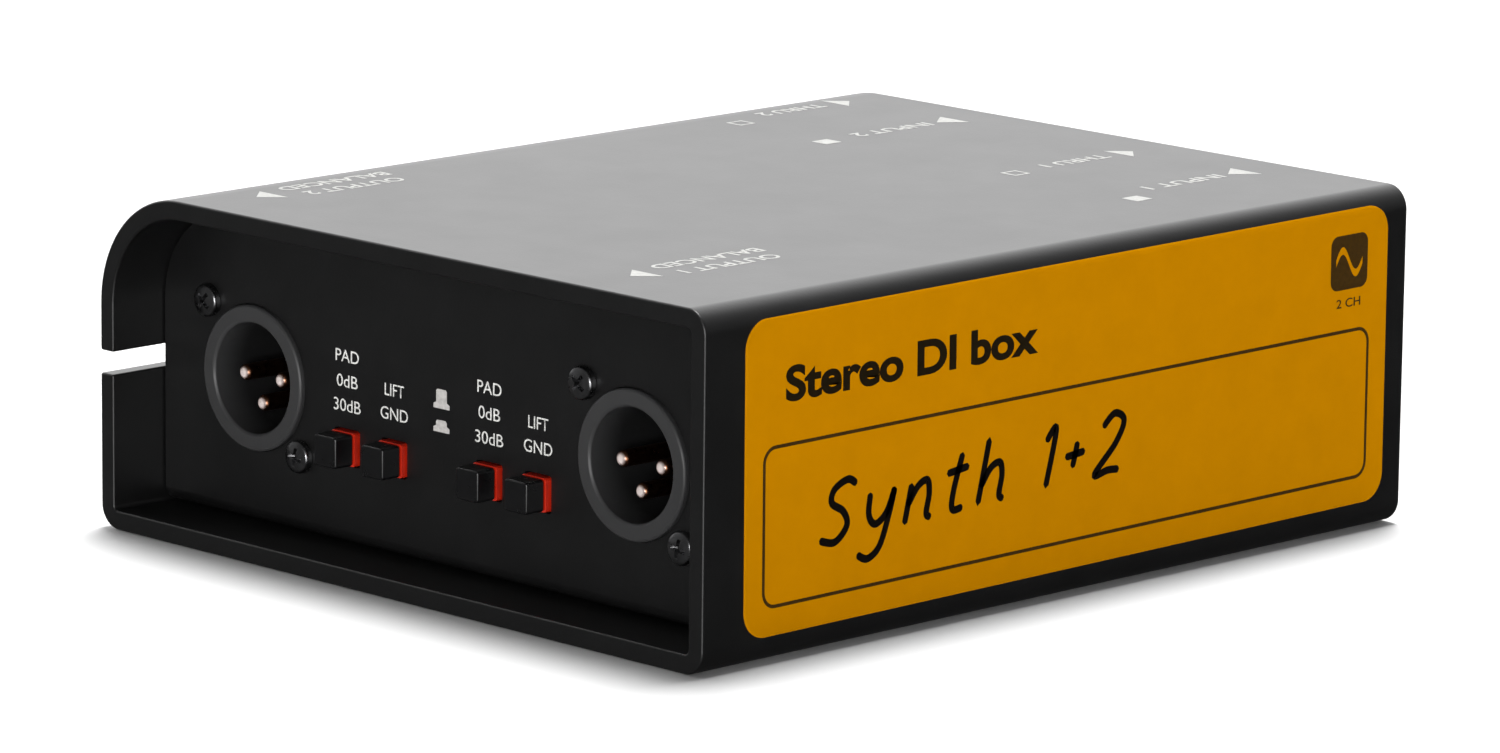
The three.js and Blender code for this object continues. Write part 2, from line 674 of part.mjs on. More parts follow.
// The wound bobbin, a square ring round the centre limb
function transformerCoil(name) {
  const halfLength = CORE_WIDTH / 2 - CORE_LIMB - CLEARANCE;
  const hole = CORE_CENTRE_LIMB / 2 + CLEARANCE;
  const outer = CORE_HEIGHT / 2 - CORE_LIMB - CLEARANCE;
  const thickness = outer - hole;
  const depthHole = CORE_STACK / 2 + CLEARANCE;
  const depth = depthHole + thickness;
  const winding = block(-halfLength, halfLength, -depth, depth, -outer, outer);
  const opening = block(-WIDTH, WIDTH, -depthHole, depthHole, -hole, hole);
  return piece(name, cut(winding, opening), FINISHES.bobbin);
}

function transformer(channel) {
  const group = new THREE.Group();
  group.add(transformerCore(`transformer_core_ch${channel}`));
  group.add(transformerCoil(`transformer_coil_ch${channel}`));
  const z = BOARD_TOP + CLEARANCE + CORE_HEIGHT / 2;
  return place(group, channel === 1 ? TRANSFORMER_X : -TRANSFORMER_X, 0, z);
}

// ---- The whole box ----
const box = new THREE.Group();
box.add(sleeve(), label(), frontChassis(), rearChassis(), circuitBoard());
caseScrewPlaces().forEach((screw) => box.add(caseScrew(screw)));
for (const channel of [1, 2]) {
  box.add(xlrConnector(channel));
  box.add(transformer(channel));
  for (const use of ['pad', 'lift']) {
    box.add(pushSwitch(use, channel));
  }
  for (const use of ['input', 'thru']) {
    box.add(jackSocket(use, channel));
  }
}

export default box;
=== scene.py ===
"""A passive two-channel direct injection box: its finished surfaces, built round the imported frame.

Forms are drawn in millimetres and scaled to metres as they are placed. A local form has its
y axis pointing into the box, with y = 0 on the panel, or on the surface the box rests on.
"""
import math

import bmesh
import bpy
from mathutils import Matrix, Vector


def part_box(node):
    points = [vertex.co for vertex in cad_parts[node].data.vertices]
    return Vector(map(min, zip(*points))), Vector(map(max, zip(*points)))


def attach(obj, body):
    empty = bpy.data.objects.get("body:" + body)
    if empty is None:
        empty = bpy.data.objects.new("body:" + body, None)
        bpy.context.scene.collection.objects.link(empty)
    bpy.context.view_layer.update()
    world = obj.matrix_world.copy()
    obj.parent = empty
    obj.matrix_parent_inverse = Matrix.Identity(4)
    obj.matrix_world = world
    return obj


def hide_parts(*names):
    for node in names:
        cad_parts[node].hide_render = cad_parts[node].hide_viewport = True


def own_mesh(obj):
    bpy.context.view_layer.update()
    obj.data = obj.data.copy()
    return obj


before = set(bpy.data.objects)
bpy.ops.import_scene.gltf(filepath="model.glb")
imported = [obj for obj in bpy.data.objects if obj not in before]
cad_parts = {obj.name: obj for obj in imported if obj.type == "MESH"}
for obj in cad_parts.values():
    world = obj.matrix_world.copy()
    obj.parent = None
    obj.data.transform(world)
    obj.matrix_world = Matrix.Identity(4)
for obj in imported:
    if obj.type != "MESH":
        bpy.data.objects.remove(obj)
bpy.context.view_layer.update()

MM = 0.001

# ---- Driving sizes, mm: those of the whole box come from the frame ----
SLEEVE_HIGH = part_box("outer_sleeve")[1] / MM
HALF_WIDTH = SLEEVE_HIGH.x
HALF_DEPTH = SLEEVE_HIGH.y
HEIGHT = SLEEVE_HIGH.z
PANEL = -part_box("front_chassis")[0].y / MM
FLOOR_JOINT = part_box("front_chassis")[1].y / MM
CLEARANCE = 0.3
WALL = 2.8
SHEET = 1.5
BIG_RADIUS = 17
SMALL_RADIUS = 3.5
SEAM_LOW, SEAM_HIGH = 22.7, 26.0
BEND_RADIUS = 2  # of the chassis sheets, outside
FLANGE_TOP = 32
LABEL = (-63.4, 67, 4.1, 47.8, 4)  # left, right, low, high and corner radius
LABEL_TILT = math.radians(0.25)  # the film is stuck on a little askew
LABEL_FILM = 0.16
INK = 0.02
RIGHT_WALL = HALF_WIDTH - LABEL_FILM - INK
BEHIND_PANEL = SHEET + CLEARANCE
PUNCH = 5  # how far a hole's cutter reaches to each side of a panel's face
CHANNELS = (1, 2)
STAND = Matrix.Rotation(math.pi / 2, 4, "X")  # turns a form that points along y to point up


# ---- Outlines: lists of 2-D points ----
def arc(x, y, radius, start, end, steps):
    """Points round a centre from one angle to another, in degrees."""
    angles = [math.radians(start + (end - start) * i / steps) for i in range(steps + 1)]
    return [(x + radius * math.cos(a), y + radius * math.sin(a)) for a in angles]


def circle(radius, steps=64):
    return arc(0, 0, radius, 0, 360, steps)[:-1]


def rounded_rectangle(left, right, low, high, radius, steps=8):
    return (
        arc(right - radius, low + radius, radius, -90, 0, steps)
        + arc(right - radius, high - radius, radius, 0, 90, steps)
        + arc(left + radius, high - radius, radius, 90, 180, steps)
        + arc(left + radius, low + radius, radius, 180, 270, steps)
    )


def rounded_square(size, radius, steps=8):
    return rounded_rectangle(-size / 2, size / 2, -size / 2, size / 2, radius, steps)


def inset_rectangle(sizes, inset, steps=8):
    """A rounded rectangle's left, right, low, high and radius, as an outline moved in on every side."""
    left, right, low, high, radius = sizes
    return rounded_rectangle(left + inset, right - inset, low + inset, high - inset, radius - inset, steps)


def softened(points, radius, steps=3):
    """A profile with its inner corners rounded. Its two ends stay as they are."""
    points = [Vector(p) for p in points]
    result = [points[0]]
    for before, corner, after in zip(points, points[1:], points[2:]):
        to_before, to_after = before - corner, after - corner
        reach = min(radius, to_before.length * 0.45, to_after.length * 0.45)
        start = corner + to_before.normalized() * reach
        end = corner + to_after.normalized() * reach
        for i in range(steps + 1):
            t = i / steps
            result.append(start * (1 - t) ** 2 + corner * 2 * t * (1 - t) + end * t ** 2)
    result.append(points[-1])
    return [tuple(p) for p in result]


# ---- Solids: bmesh forms in millimetres ----
def skinned(rings):
    """A closed solid through rings of 3-D points, each with the same number of points."""
    form = bmesh.new()
    rings = [[form.verts.new(point) for point in ring] for ring in rings]
    for before, after in zip(rings, rings[1:]):
        for i, corner in enumerate(before):
            form.faces.new((before[i - 1], corner, after[i], after[i - 1]))
    form.faces.new(rings[0])
    form.faces.new(rings[-1])
    bmesh.ops.recalc_face_normals(form, faces=form.faces)
    return form


def prism(outline, low, high, axis="Y"):
    """A closed prism. The outline is in X and Z along Y, in Y and Z along X, in X and Y along Z."""
    corner = {
        "X": lambda a, b, h: (h, a, b),
        "Y": lambda a, b, h: (a, h, b),
        "Z": lambda a, b, h: (a, b, h),
    }[axis]
    return skinned([[corner(a, b, h) for a, b in outline] for h in (low, high)])


def box(x0, x1, y0, y1, z0, z1):
    return prism([(x0, z0), (x1, z0), (x1, z1), (x0, z1)], y0, y1)


def lathe(profile, steps=64, closed=False):
    """(radius, y) points turned about the Y axis. It starts and ends on the axis, or is closed."""
    form = bmesh.new()
    rings = []
    for radius, y in profile:
        if radius < 1e-6:
            rings.append([form.verts.new((0, y, 0))])
            continue
        rings.append([form.verts.new((x, y, z)) for x, z in circle(radius, steps)])
    pairs = list(zip(rings, rings[1:]))
    if closed:
        pairs.append((rings[-1], rings[0]))
    for a, b in pairs:
        for i in range(steps):
            j = (i + 1) % steps
            corners = [a[i % len(a)], a[j % len(a)], b[j % len(b)], b[i % len(b)]]
            corners = list(dict.fromkeys(corners))
            if len(corners) > 2:
                form.faces.new(corners)
    bmesh.ops.recalc_face_normals(form, faces=form.faces)
    return form


def rod(radius, y0, y1, steps=64):
    return lathe([(0, y0), (radius, y0), (radius, y1), (0, y1)], steps)


def tube(path, radius, sides=12):
    """A round wire along a list of 3-D points."""
    path = [Vector(p) for p in path]
    rings = []
    for i, point in enumerate(path):
        along = (path[min(i + 1, len(path) - 1)] - path[max(i - 1, 0)]).normalized()
        across = along.cross(Vector((0, 1, 0))).normalized()
        up = across.cross(along)
        rings.append([point + across * a + up * b for a, b in circle(radius, sides)])
    return skinned(rings)


def moved(form, x=0, y=0, z=0, turn=None):
    """The form turned by a matrix, if one is given, and then moved."""
    matrix = Matrix.Translation((x, y, z)) @ (turn or Matrix.Identity(4))
    bmesh.ops.transform(form, matrix=matrix, verts=form.verts)
    return form


def evaluated(obj):
    """A copy of what an object shows, with its modifiers, as a bmesh. The object is removed."""
    graph = bpy.context.evaluated_depsgraph_get()
    mesh = bpy.data.meshes.new_from_object(obj.evaluated_get(graph))
    form = bmesh.new()
    form.from_mesh(mesh)
    bpy.data.meshes.remove(mesh)
    bpy.data.objects.remove(obj)
    return form


def new_object(name, data):
    obj = bpy.data.objects.new(name, data)
    bpy.context.collection.objects.link(obj)
    return obj


def helper_object(form):
    mesh = bpy.data.meshes.new("helper")
    form.to_mesh(mesh)
    form.free()
    return new_object("helper", mesh)


def combined(form, operation, *others):
    """form with each of the others joined ("UNION"), cut away ("DIFFERENCE") or kept ("INTERSECT")."""
    for other in others:
        obj, tool = helper_object(form), helper_object(other)
        modifier = obj.modifiers.new("combine", "BOOLEAN")
        modifier.operation = operation
        modifier.solver = "EXACT"
        modifier.object = tool
        form = evaluated(obj)
        bpy.data.objects.remove(tool)
    bmesh.ops.remove_doubles(form, verts=form.verts, dist=1e-4)
    bmesh.ops.recalc_face_normals(form, faces=form.faces)
    return form


def bevelled(form, width, segments=2, angle=40):
    """form with its sharp edges rounded."""
    obj = helper_object(form)
    modifier = obj.modifiers.new("round", "BEVEL")
    modifier.width = width
    modifier.segments = segments
    modifier.limit_method = "ANGLE"
    modifier.angle_limit = math.radians(angle)
    modifier.miter_outer = "MITER_ARC"
    return evaluated(obj)


def from_curve(curve):
    """What a curve shows, as a form. The curve is removed."""
    form = evaluated(new_object("helper", curve))
    bpy.data.curves.remove(curve)
    bmesh.ops.remove_doubles(form, verts=form.verts, dist=1e-5)
    return form


def filled(outlines, thickness):
    """A flat plate in local x and y, from z = 0 to its thickness. Outlines inside others are holes."""
    curve = bpy.data.curves.new("helper", "CURVE")
    curve.dimensions = "2D"
    curve.fill_mode = "BOTH"
    curve.extrude = thickness / 2
    for outline in outlines:
        spline = curve.splines.new("POLY")
        spline.points.add(len(outline) - 1)
        for point, (x, y) in zip(spline.points, outline):
            point.co = (x, y, 0, 1)
        spline.use_cyclic_u = True
    return moved(from_curve(curve), z=thickness / 2)


def letters(words, cap_height, width, weight=0.0):
    """Words as thin solids, with the baseline's middle at the origin, stretched to a width."""
    def drawn(text):
        curve = bpy.data.curves.new("helper", "FONT")
        curve.body = text
        curve.offset = weight
        curve.extrude = 0.5
        curve.resolution_u = 6
        return from_curve(curve)

    capital = drawn("H")
    tall = max(v.co.y for v in capital.verts) - min(v.co.y for v in capital.verts)
    capital.free()
    form = drawn(words)
    left = min(v.co.x for v in form.verts)
    right = max(v.co.x for v in form.verts)
    stretch = Matrix.Diagonal((width / (right - left), cap_height / tall, INK, 1))
    moved(form, x=-(left + right) / 2, z=0.5)
    return moved(form, turn=stretch)


def stroke(points, radius, steps_a_point=10, least=0.02):
    """A pen stroke through the points: a flat ribbon with round ends, and no thinner than its least."""
    def spline(t):
        i = min(int(t), len(points) - 2)
        p = [Vector(points[max(0, min(len(points) - 1, k))]) for k in range(i - 1, i + 3)]
        f = t - i
        return 0.5 * (
            2 * p[1] + (p[2] - p[0]) * f + (2 * p[0] - 5 * p[1] + 4 * p[2] - p[3]) * f ** 2
            + (3 * p[1] - p[0] - 3 * p[2] + p[3]) * f ** 3
        )

    def half_width(walked, length):
        near_end = min(walked, length - walked, radius)
        return math.sqrt(max(radius ** 2 - (radius - near_end) ** 2, least ** 2))

    steps = steps_a_point * (len(points) - 1)
    path = [spline(i / steps_a_point) for i in range(steps + 1)]
    walked = [0.0]
    for a, b in zip(path, path[1:]):
        walked.append(walked[-1] + (b - a).length)
    sections = []
    for i, point in enumerate(path):
        along = (path[min(i + 1, steps)] - path[max(i - 1, 0)]).normalized()
        side = Vector((-along.y, along.x)) * half_width(walked[i], walked[-1])
        corners = [(point + side, 0), (point - side, 0), (point - side, INK), (point + side, INK)]
        sections.append([(p.x, p.y, z) for p, z in corners])
    return skinned(sections)


# ---- Placing forms as pieces ----
def merged(*forms):
    """Separate forms as one."""
    whole = bmesh.new()
    for form in forms:
        mesh = bpy.data.meshes.new("helper")
        form.to_mesh(mesh)
        form.free()
        whole.from_mesh(mesh)
        bpy.data.meshes.remove(mesh)
    return whole


def finished_mesh(form, smooth=38):
    """A mesh in metres, shaded smooth except across edges sharper than the angle."""
    mesh = bpy.data.meshes.new("form")
    form.to_mesh(mesh)
    form.free()
    mesh.transform(Matrix.Scale(MM, 4))
    mesh.shade_smooth()
    mesh.set_sharp_from_angle(angle=math.radians(smooth))
    return mesh


def piece(name, mesh, material, place=None, body="box", replaces=()):
    """One copy of a mesh, in place, riding on its body and standing for its CAD nodes."""
    mesh = mesh.copy()
    mesh.transform(place or Matrix.Identity(4))
    mesh.materials.clear()
    mesh.materials.append(material)
    obj = new_object(name, mesh)
    weighted = obj.modifiers.new("even_shading", "WEIGHTED_NORMAL")
    weighted.keep_sharp = True
    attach(obj, body)
    if replaces:
        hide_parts(*replaces)
    return obj


def stand_in(node, suffix, mesh, material, place=None, body="box"):
    """A piece that stands for one CAD node, with a name made from the node's."""
    return piece(f"{node}_{suffix}", mesh, material, place, body, [node])


def middle(node):
    low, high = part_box(node)
    return (low + high) / 2


def on_front(node):
    """The place of a node's axis where it meets the front panel, looking in."""
    return Matrix.Translation((middle(node).x, -PANEL * MM, middle(node).z))


def on_rear(node):
    """The place of a node's axis where it meets the rear panel, looking in."""
    place = Matrix.Translation((middle(node).x, PANEL * MM, middle(node).z))
    return place @ Matrix.Rotation(math.pi, 4, "Z")


def on_underside(node):
    """The place of a node's axis on the resting surface, looking up."""
    return Matrix.Translation((middle(node).x, middle(node).y, 0)) @ STAND


def plane(origin, right, up):
    """A local x, y and outward z on a surface of the box, its origin in millimetres."""
    right, up = Vector(right), Vector(up)
    matrix = Matrix((right, up, right.cross(up))).transposed().to_4x4()
    return Matrix.Translation(Vector(origin) * MM) @ matrix


FRONT_PLANE = plane((0, -PANEL, 0), (1, 0, 0), (0, 0, 1))
TOP_PLANE = plane((0, 0, HEIGHT - INK), (0, -1, 0), (1, 0, 0))
LABEL_ALONG = (0, math.cos(LABEL_TILT), math.sin(LABEL_TILT))
LABEL_UP = (0, -math.sin(LABEL_TILT), math.cos(LABEL_TILT))
LABEL_PLANE = plane((HALF_WIDTH - INK, 0, 0), LABEL_ALONG, LABEL_UP)


# ---- Materials ----
def shader(name, **values):
    """A material with its Principled shader's own sockets set."""
    material = bpy.data.materials.new(name)
    material.use_nodes = True
    principled = material.node_tree.nodes["Principled BSDF"]
    for socket, value in values.items():
        principled.inputs[socket.replace("_", " ")].default_value = value
    return material


def node(material, kind, **values):
    """A node with its sockets (by name, spaces as _) or its own settings set."""
    made = material.node_tree.nodes.new(f"ShaderNode{kind}")
    for key, value in values.items():
        socket = made.inputs.get(key.replace("_", " "))
        if socket is not None:
            socket.default_value = value
        else:
            setattr(made, key, value)
    return made


def link(material, output, target):
    material.node_tree.links.new(output, target)


def feed(material, output, name):
    """Links an output to the Principled shader's socket of that name."""
    link(material, output, material.node_tree.nodes["Principled BSDF"].inputs[name])


def position(material, stretch=(1, 1, 1)):
    """The surface's place in metres, in the piece's own frame."""
    coordinates = node(material, "TexCoord")
    mapping = node(material, "Mapping", Scale=stretch)
    link(material, coordinates.outputs["Object"], mapping.inputs["Vector"])
    return mapping.outputs["Vector"]


def noise(material, place, grain, detail=3.0):
    """Noise whose grains are that many millimetres across."""
    made = node(material, "TexNoise", Scale=1 / (grain * MM), Detail=detail, Roughness=0.55)
    link(material, place, made.inputs["Vector"])
    return made.outputs["Fac"]


def spread(material, value, low, high, start=0.3, end=0.7):
    """A value stretched from start..end to low..high."""
    made = node(material, "MapRange", From_Min=start, From_Max=end, To_Min=low, To_Max=high)
    link(material, value, made.inputs["Value"])
    return made.outputs["Result"]


def between(material, factor, first, second):
    """A colour that goes from the first to the second as factor goes from 0 to 1."""
    ramp = node(material, "ValToRGB")
    ramp.color_ramp.elements[0].color = (*first, 1)
    ramp.color_ramp.elements[1].color = (*second, 1)
    link(material, factor, ramp.inputs["Fac"])
    return ramp.outputs["Color"]


def bump(material, height, distance, below=None):
    """Relief of that many millimetres, over the bump below it."""
    made = node(material, "Bump", Strength=1.0, Distance=distance * MM)
    link(material, height, made.inputs["Height"])
    if below is not None:
        link(material, below, made.inputs["Normal"])
    feed(material, made.outputs["Normal"], "Normal")
    return made.outputs["Normal"]


def uneven(material, first, second, grain, rough):
    """Colour and roughness that wander over the surface, in patches that many millimetres across."""
    place = position(material)
    wander = spread(material, noise(material, place, grain), 0, 1)
    feed(material, between(material, wander, first, second), "Base Color")
    feed(material, spread(material, wander, *rough, 0, 1), "Roughness")
    return place


def shades(tone, darker, lighter):
    return [tuple(part * factor for part in tone) for factor in (darker, lighter)]


def grained(name, tones, patch, rough, grain, relief, **values):
    """An uneven surface with a fine relief. Patches, grains and relief are in millimetres."""
    made = shader(name, **values)
    place = uneven(made, *tones, patch, rough)
    bump(made, noise(made, place, grain, 2), relief)
    return made


def powder_coat():
    """Matt black powder coat: a fine orange peel with finer grains in it."""
    coat = shader("powder_coat", Specular_IOR_Level=0.62)
    place = uneven(coat, *shades((0.0058, 0.0058, 0.006), 0.85, 1.2), 9, (0.395, 0.415))
    peel = bump(coat, noise(coat, place, 0.55, 2), 0.012)
    bump(coat, noise(coat, place, 0.16, 2), 0.004, below=peel)
    return coat


def label_film():
    """Amber satin film, with a faint mottle and a fine grain."""
    tones = shades((0.505, 0.202, 0.0002), 0.97, 1.03)
    return grained("label_film", tones, 5, (0.40, 0.46), 0.3, 0.002, Specular_IOR_Level=0.0)


def ink(name, tone, roughness=0.5, specular=0.5):
    """Printed or written ink, a little uneven in its cover."""
    rough = (roughness - 0.06, roughness + 0.06)
    return grained(name, shades(tone, 0.8, 1.15), 0.7, rough, 0.2, 0.002, Specular_IOR_Level=specular)


def moulded(name, tone, roughness, relief=0.004):
    """Moulded plastic or cast metal with a fine grain."""
    rough = (roughness - 0.05, roughness + 0.05)
    return grained(name, shades(tone, 0.9, 1.12), 2.5, rough, 0.35, relief)


def depth(material, start, end):
    """0 in front of one Y, in millimetres, rising to 1 at another behind it."""
    along = node(material, "SeparateXYZ")
    link(material, position(material), along.inputs[0])
    return spread(material, along.outputs["Y"], 0, 1, start * MM, end * MM)


def grey_shell():
    """Grey moulding with a fine grain, with painted shade that darkens it down inside the socket."""
    made = moulded("connector_grey", (0.038, 0.038, 0.039), 0.46, relief=0.003)
    # painted shade: the grey darkens with depth down the bore, where little light reaches
    inside = depth(made, 0.4 - PANEL, 5 - PANEL)
    cover = between(made, inside, (0.040, 0.040, 0.041), (0.011, 0.011, 0.0113))
    feed(made, cover, "Base Color")
    return made


def contact_metal():
    """Plated contact with painted light: a tip painted bright as a highlight, on a gold barrel painted darker
    as shade down in the bore.
    """
    made = metal("pin_gold_painted_light", (0.5, 0.26, 0.15), 0.3, (1, 0.2, 1))
    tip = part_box("xlr_pin_1_ch1")[0].y / MM
    # painted highlight at the tip, turning to painted shade along the barrel; the tip is also made less
    # metallic
    painted_highlight_to_shade = depth(made, tip + 0.08, tip + 0.34)
    cover = between(made, painted_highlight_to_shade, (0.93, 0.80, 0.76), (0.2, 0.09, 0.05))
    feed(made, cover, "Base Color")
    feed(made, spread(made, painted_highlight_to_shade, 0.25, 1.0, 0, 1), "Metallic")
    return made


def metal(name, tone, roughness, scratch=(1, 1, 1), relief=0.003):
    """Bare or plated metal, with fine marks that run along one axis where scratch says so."""
    made = shader(name, Metallic=1.0)
    uneven(made, *shades(tone, 0.82, 1.06), 1.2, (roughness - 0.06, roughness + 0.08))
    bump(made, noise(made, position(made, scratch), 0.25, 3), relief)
    return made


def banded(name, first, second, axis, pitch, roughness, metallic):
    """Edges of stacked sheets, or turns of wire, as bands of that pitch in millimetres."""
    made = shader(name, Metallic=metallic)
    scale = 2 * math.pi / (20 * pitch * MM)
    wave = node(made, "TexWave", bands_direction=axis, Scale=scale, Distortion=0.4, Detail=2.0)
    link(made, position(made), wave.inputs["Vector"])
    place = uneven(made, first, second, 1.5, (roughness - 0.05, roughness + 0.05))
    feed(made, between(made, wave.outputs["Fac"], first, second), "Base Color")
    lines = bump(made, wave.outputs["Fac"], 0.06)
    bump(made, noise(made, place, 0.3, 2), 0.004, below=lines)
    return made


def circuit_green():
    """Green solder mask over copper tracks."""
    made = shader("circuit_green", Coat_Weight=0.4, Coat_Roughness=0.2)
    place = uneven(made, (0.006, 0.05, 0.018), (0.010, 0.075, 0.026), 6, (0.4, 0.5))
    tracks = node(made, "TexBrick", Scale=90.0, Mortar_Size=0.06, Mortar_Smooth=0.2)
    link(made, place, tracks.inputs["Vector"])
    cover = between(made, tracks.outputs["Fac"], (0.007, 0.055, 0.02), (0.02, 0.11, 0.035))
    feed(made, cover, "Base Color")
    edges = bump(made, tracks.outputs["Fac"], 0.03)
    bump(made, noise(made, place, 0.4, 2), 0.003, below=edges)
    return made


POWDER = powder_coat()
FILM = label_film()
WHITE_INK = ink("white_ink", (0.78, 0.78, 0.75))
# the front's white ink, painted darker here to offset the stronger light that falls on the top
WHITE_INK_SHADED_FOR_TOP = ink("white_ink_painted_darker_on_top", (0.46, 0.46, 0.44))
SIGN_INK = ink("sign_ink", (0.56, 0.54, 0.52))
BROWN_INK = ink("brown_ink", (0.052, 0.024, 0.0004), 0.42, 0.15)
TITLE_INK = ink("title_ink", (0.014, 0.008, 0.0006), 0.42, 0.2)
MARKER_INK = ink("marker_ink", (0.0045, 0.0032, 0.0022), 0.35, 0.2)
CONNECTOR_GREY_WITH_PAINTED_SHADE = grey_shell()
INSERT_BLACK = moulded("insert_black", (0.003, 0.003, 0.003), 0.55)
SWITCH_BLACK = moulded("switch_black", (0.012, 0.012, 0.013), 0.45)
CAP_BLACK = moulded("cap_black", (0.005, 0.005, 0.0055), 0.3, relief=0.002)
COLLAR_RED = moulded("collar_red", (0.62, 0.02, 0.005), 0.34, relief=0.002)
PIN_GOLD_PAINTED_LIGHT = contact_metal()
LEAF_GOLD = metal("leaf_gold", (0.8, 0.55, 0.25), 0.25, (1, 0.2, 1))
SCREW_STEEL = metal("screw_steel", (0.2, 0.2, 0.205), 0.28)
PLATED_STEEL = metal("plated_steel", (0.62, 0.63, 0.64), 0.27, relief=0.0004)
SPRING_STEEL = metal("spring_steel", (0.5, 0.51, 0.52), 0.25, (1, 4, 1))
BOARD_GREEN = circuit_green()
CORE_STEEL = banded("core_steel", (0.09, 0.095, 0.1), (0.24, 0.25, 0.26), "Y", 0.5, 0.42, 0.8)
COIL_AMBER = banded("coil_amber", (0.30, 0.15, 0.03), (0.62, 0.36, 0.08), "X", 0.8, 0.4, 0.0)


# ---- Sleeve, label and chassis ----
CASE_SCREWS = [f"case_screw_{end}_{side}" for end in ("front", "rear") for side in ("left", "right")]
HEAD = 2.75  # radii of a case screw's head and shank
SHANK = 1.25
SCREW_ROOM = 0.35  # round a case screw, in the sheets that it goes through
PANEL_SCREW_HOLE = 1.5  # radius
FILM_EDGE = [(0, 0), (0.3, 0), (0.7, 0.12), (1, 0.34)]  # share of its thickness, and how far in
FILM_CUTS = [0.3 * i for i in range(8)]  # heights past the start of the bend where the film can bend


def wrap_outline(inset, steps=24):
    """The sleeve's section without its seam, moved in, from the start of the big bend to the left wall."""
    left, right, top = -HALF_WIDTH, RIGHT_WALL, HEIGHT - INK
    big, small = BIG_RADIUS, SMALL_RADIUS
    corners = [
        (left + big, top - big, big - inset, 180),
        (right - small, top - small, small - inset, 90),
        (right - small, small, small - inset, 0),
        (left + small, small, small - inset, -90),
    ]
    points = []
    for x, z, radius, angle in corners:
        points += arc(x, z, radius, angle, angle - 90, steps)
    return points


def sleeve_outline():
    inner = -HALF_WIDTH + WALL
    outside = [(-HALF_WIDTH, SEAM_HIGH), *wrap_outline(0), (-HALF_WIDTH, SEAM_LOW)]
    inside = [(inner, SEAM_HIGH), *wrap_outline(WALL), (inner, SEAM_LOW)]
    return outside + inside[::-1]


def build_sleeve():
    sheet = prism(sleeve_outline(), -HALF_DEPTH, HALF_DEPTH)
    sleeve = bevelled(sheet, width=0.35, segments=3, angle=60)
    top, neck = HEAD + SCREW_ROOM, SHANK + SCREW_ROOM + 0.05
    profile = [(0, -1), (top, -1), (top, 0), (neck, top - neck), (neck, WALL + 1), (0, WALL + 1)]
    for name in CASE_SCREWS:
        centre = middle(name) / MM
        sleeve = combined(sleeve, "DIFFERENCE", moved(lathe(profile), centre.x, centre.y, 0, STAND))
    piece("sleeve_wrapped_sheet", finished_mesh(sleeve), POWDER, replaces=["outer_sleeve"])


def build_label():
    """A film that lies on the right wall and runs onto the start of the bend above it."""
    outlines = [(share * LABEL_FILM, inset_rectangle(LABEL, inset, 16)) for share, inset in FILM_EDGE]
    film = skinned([[(x, y, out) for x, y in outline] for out, outline in outlines])
    moved(film, turn=Matrix.Rotation(LABEL_TILT, 4, "Z"))
    bend = HEIGHT - INK - SMALL_RADIUS
    for past in FILM_CUTS:
        geometry = [*film.verts, *film.edges, *film.faces]
        bmesh.ops.bisect_plane(film, geom=geometry, plane_co=(0, bend + past, 0), plane_no=(0, 1, 0))
    for v in film.verts:
        along, height, out = v.co
        turn = max(0.0, height - bend) / SMALL_RADIUS
        reach = SMALL_RADIUS + out
        x = RIGHT_WALL - SMALL_RADIUS + reach * math.cos(turn)
        z = min(height, bend) + reach * math.sin(turn)
        v.co = (x, along, z)
    bmesh.ops.recalc_face_normals(film, faces=film.faces)
    label = piece("label_film", finished_mesh(film), FILM, replaces=["write_on_label"])
    label.visible_diffuse = False  # keeps its colour off the floor and the sleeve


def chassis_blank(side, floor_end):
    """An end panel and its floor, bent from one sheet, with a flange along each side."""
    low = WALL + CLEARANCE
    bend, inside = BEND_RADIUS, BEND_RADIUS - SHEET
    face, back = PANEL, PANEL - SHEET
    profile = [(face, HEIGHT)] + arc(face - bend, low + bend, bend, 0, -90, 8)
    profile += [(side * floor_end, low), (side * floor_end, low + SHEET)]
    profile += arc(back - inside, low + SHEET + inside, inside, -90, 0, 6) + [(back, HEIGHT)]
    sheet = prism([(side * y, z) for y, z in profile], -HALF_WIDTH, HALF_WIDTH, "X")
    section = wrap_outline(WALL + CLEARANCE, 20)
    sheet = combined(sheet, "INTERSECT", prism(section, -HALF_DEPTH, HALF_DEPTH))
    outer = RIGHT_WALL - WALL - CLEARANCE
    ends = sorted((side * (PANEL - SHEET / 2), floor_end))
    flanges = [
        box(*sorted((hand * outer, hand * (outer - SHEET))), *ends, low + SHEET / 2, FLANGE_TOP)
        for hand in (-1, 1)
    ]
    return combined(sheet, "UNION", *flanges)


def build_chassis(end, side, floor_end, holes):
    chassis = combined(chassis_blank(side, floor_end), "DIFFERENCE", *holes)
    mesh = finished_mesh(chassis, 30)
    piece(f"{end}_panel_sheet", mesh, POWDER, replaces=[f"{end}_chassis"])


def floor_holes(names):
    centres = [middle(name) / MM for name in names]
    past_floor = WALL + CLEARANCE + SHEET + PUNCH
    return [moved(rod(SHANK + SCREW_ROOM, 0, past_floor, 24), c.x, c.y, 0, STAND) for c in centres]


def punched(form, node, panel):
    """A hole's cutter on a node's axis, through the panel at that y."""
    centre = middle(node) / MM
    return moved(form, centre.x, panel, centre.z)


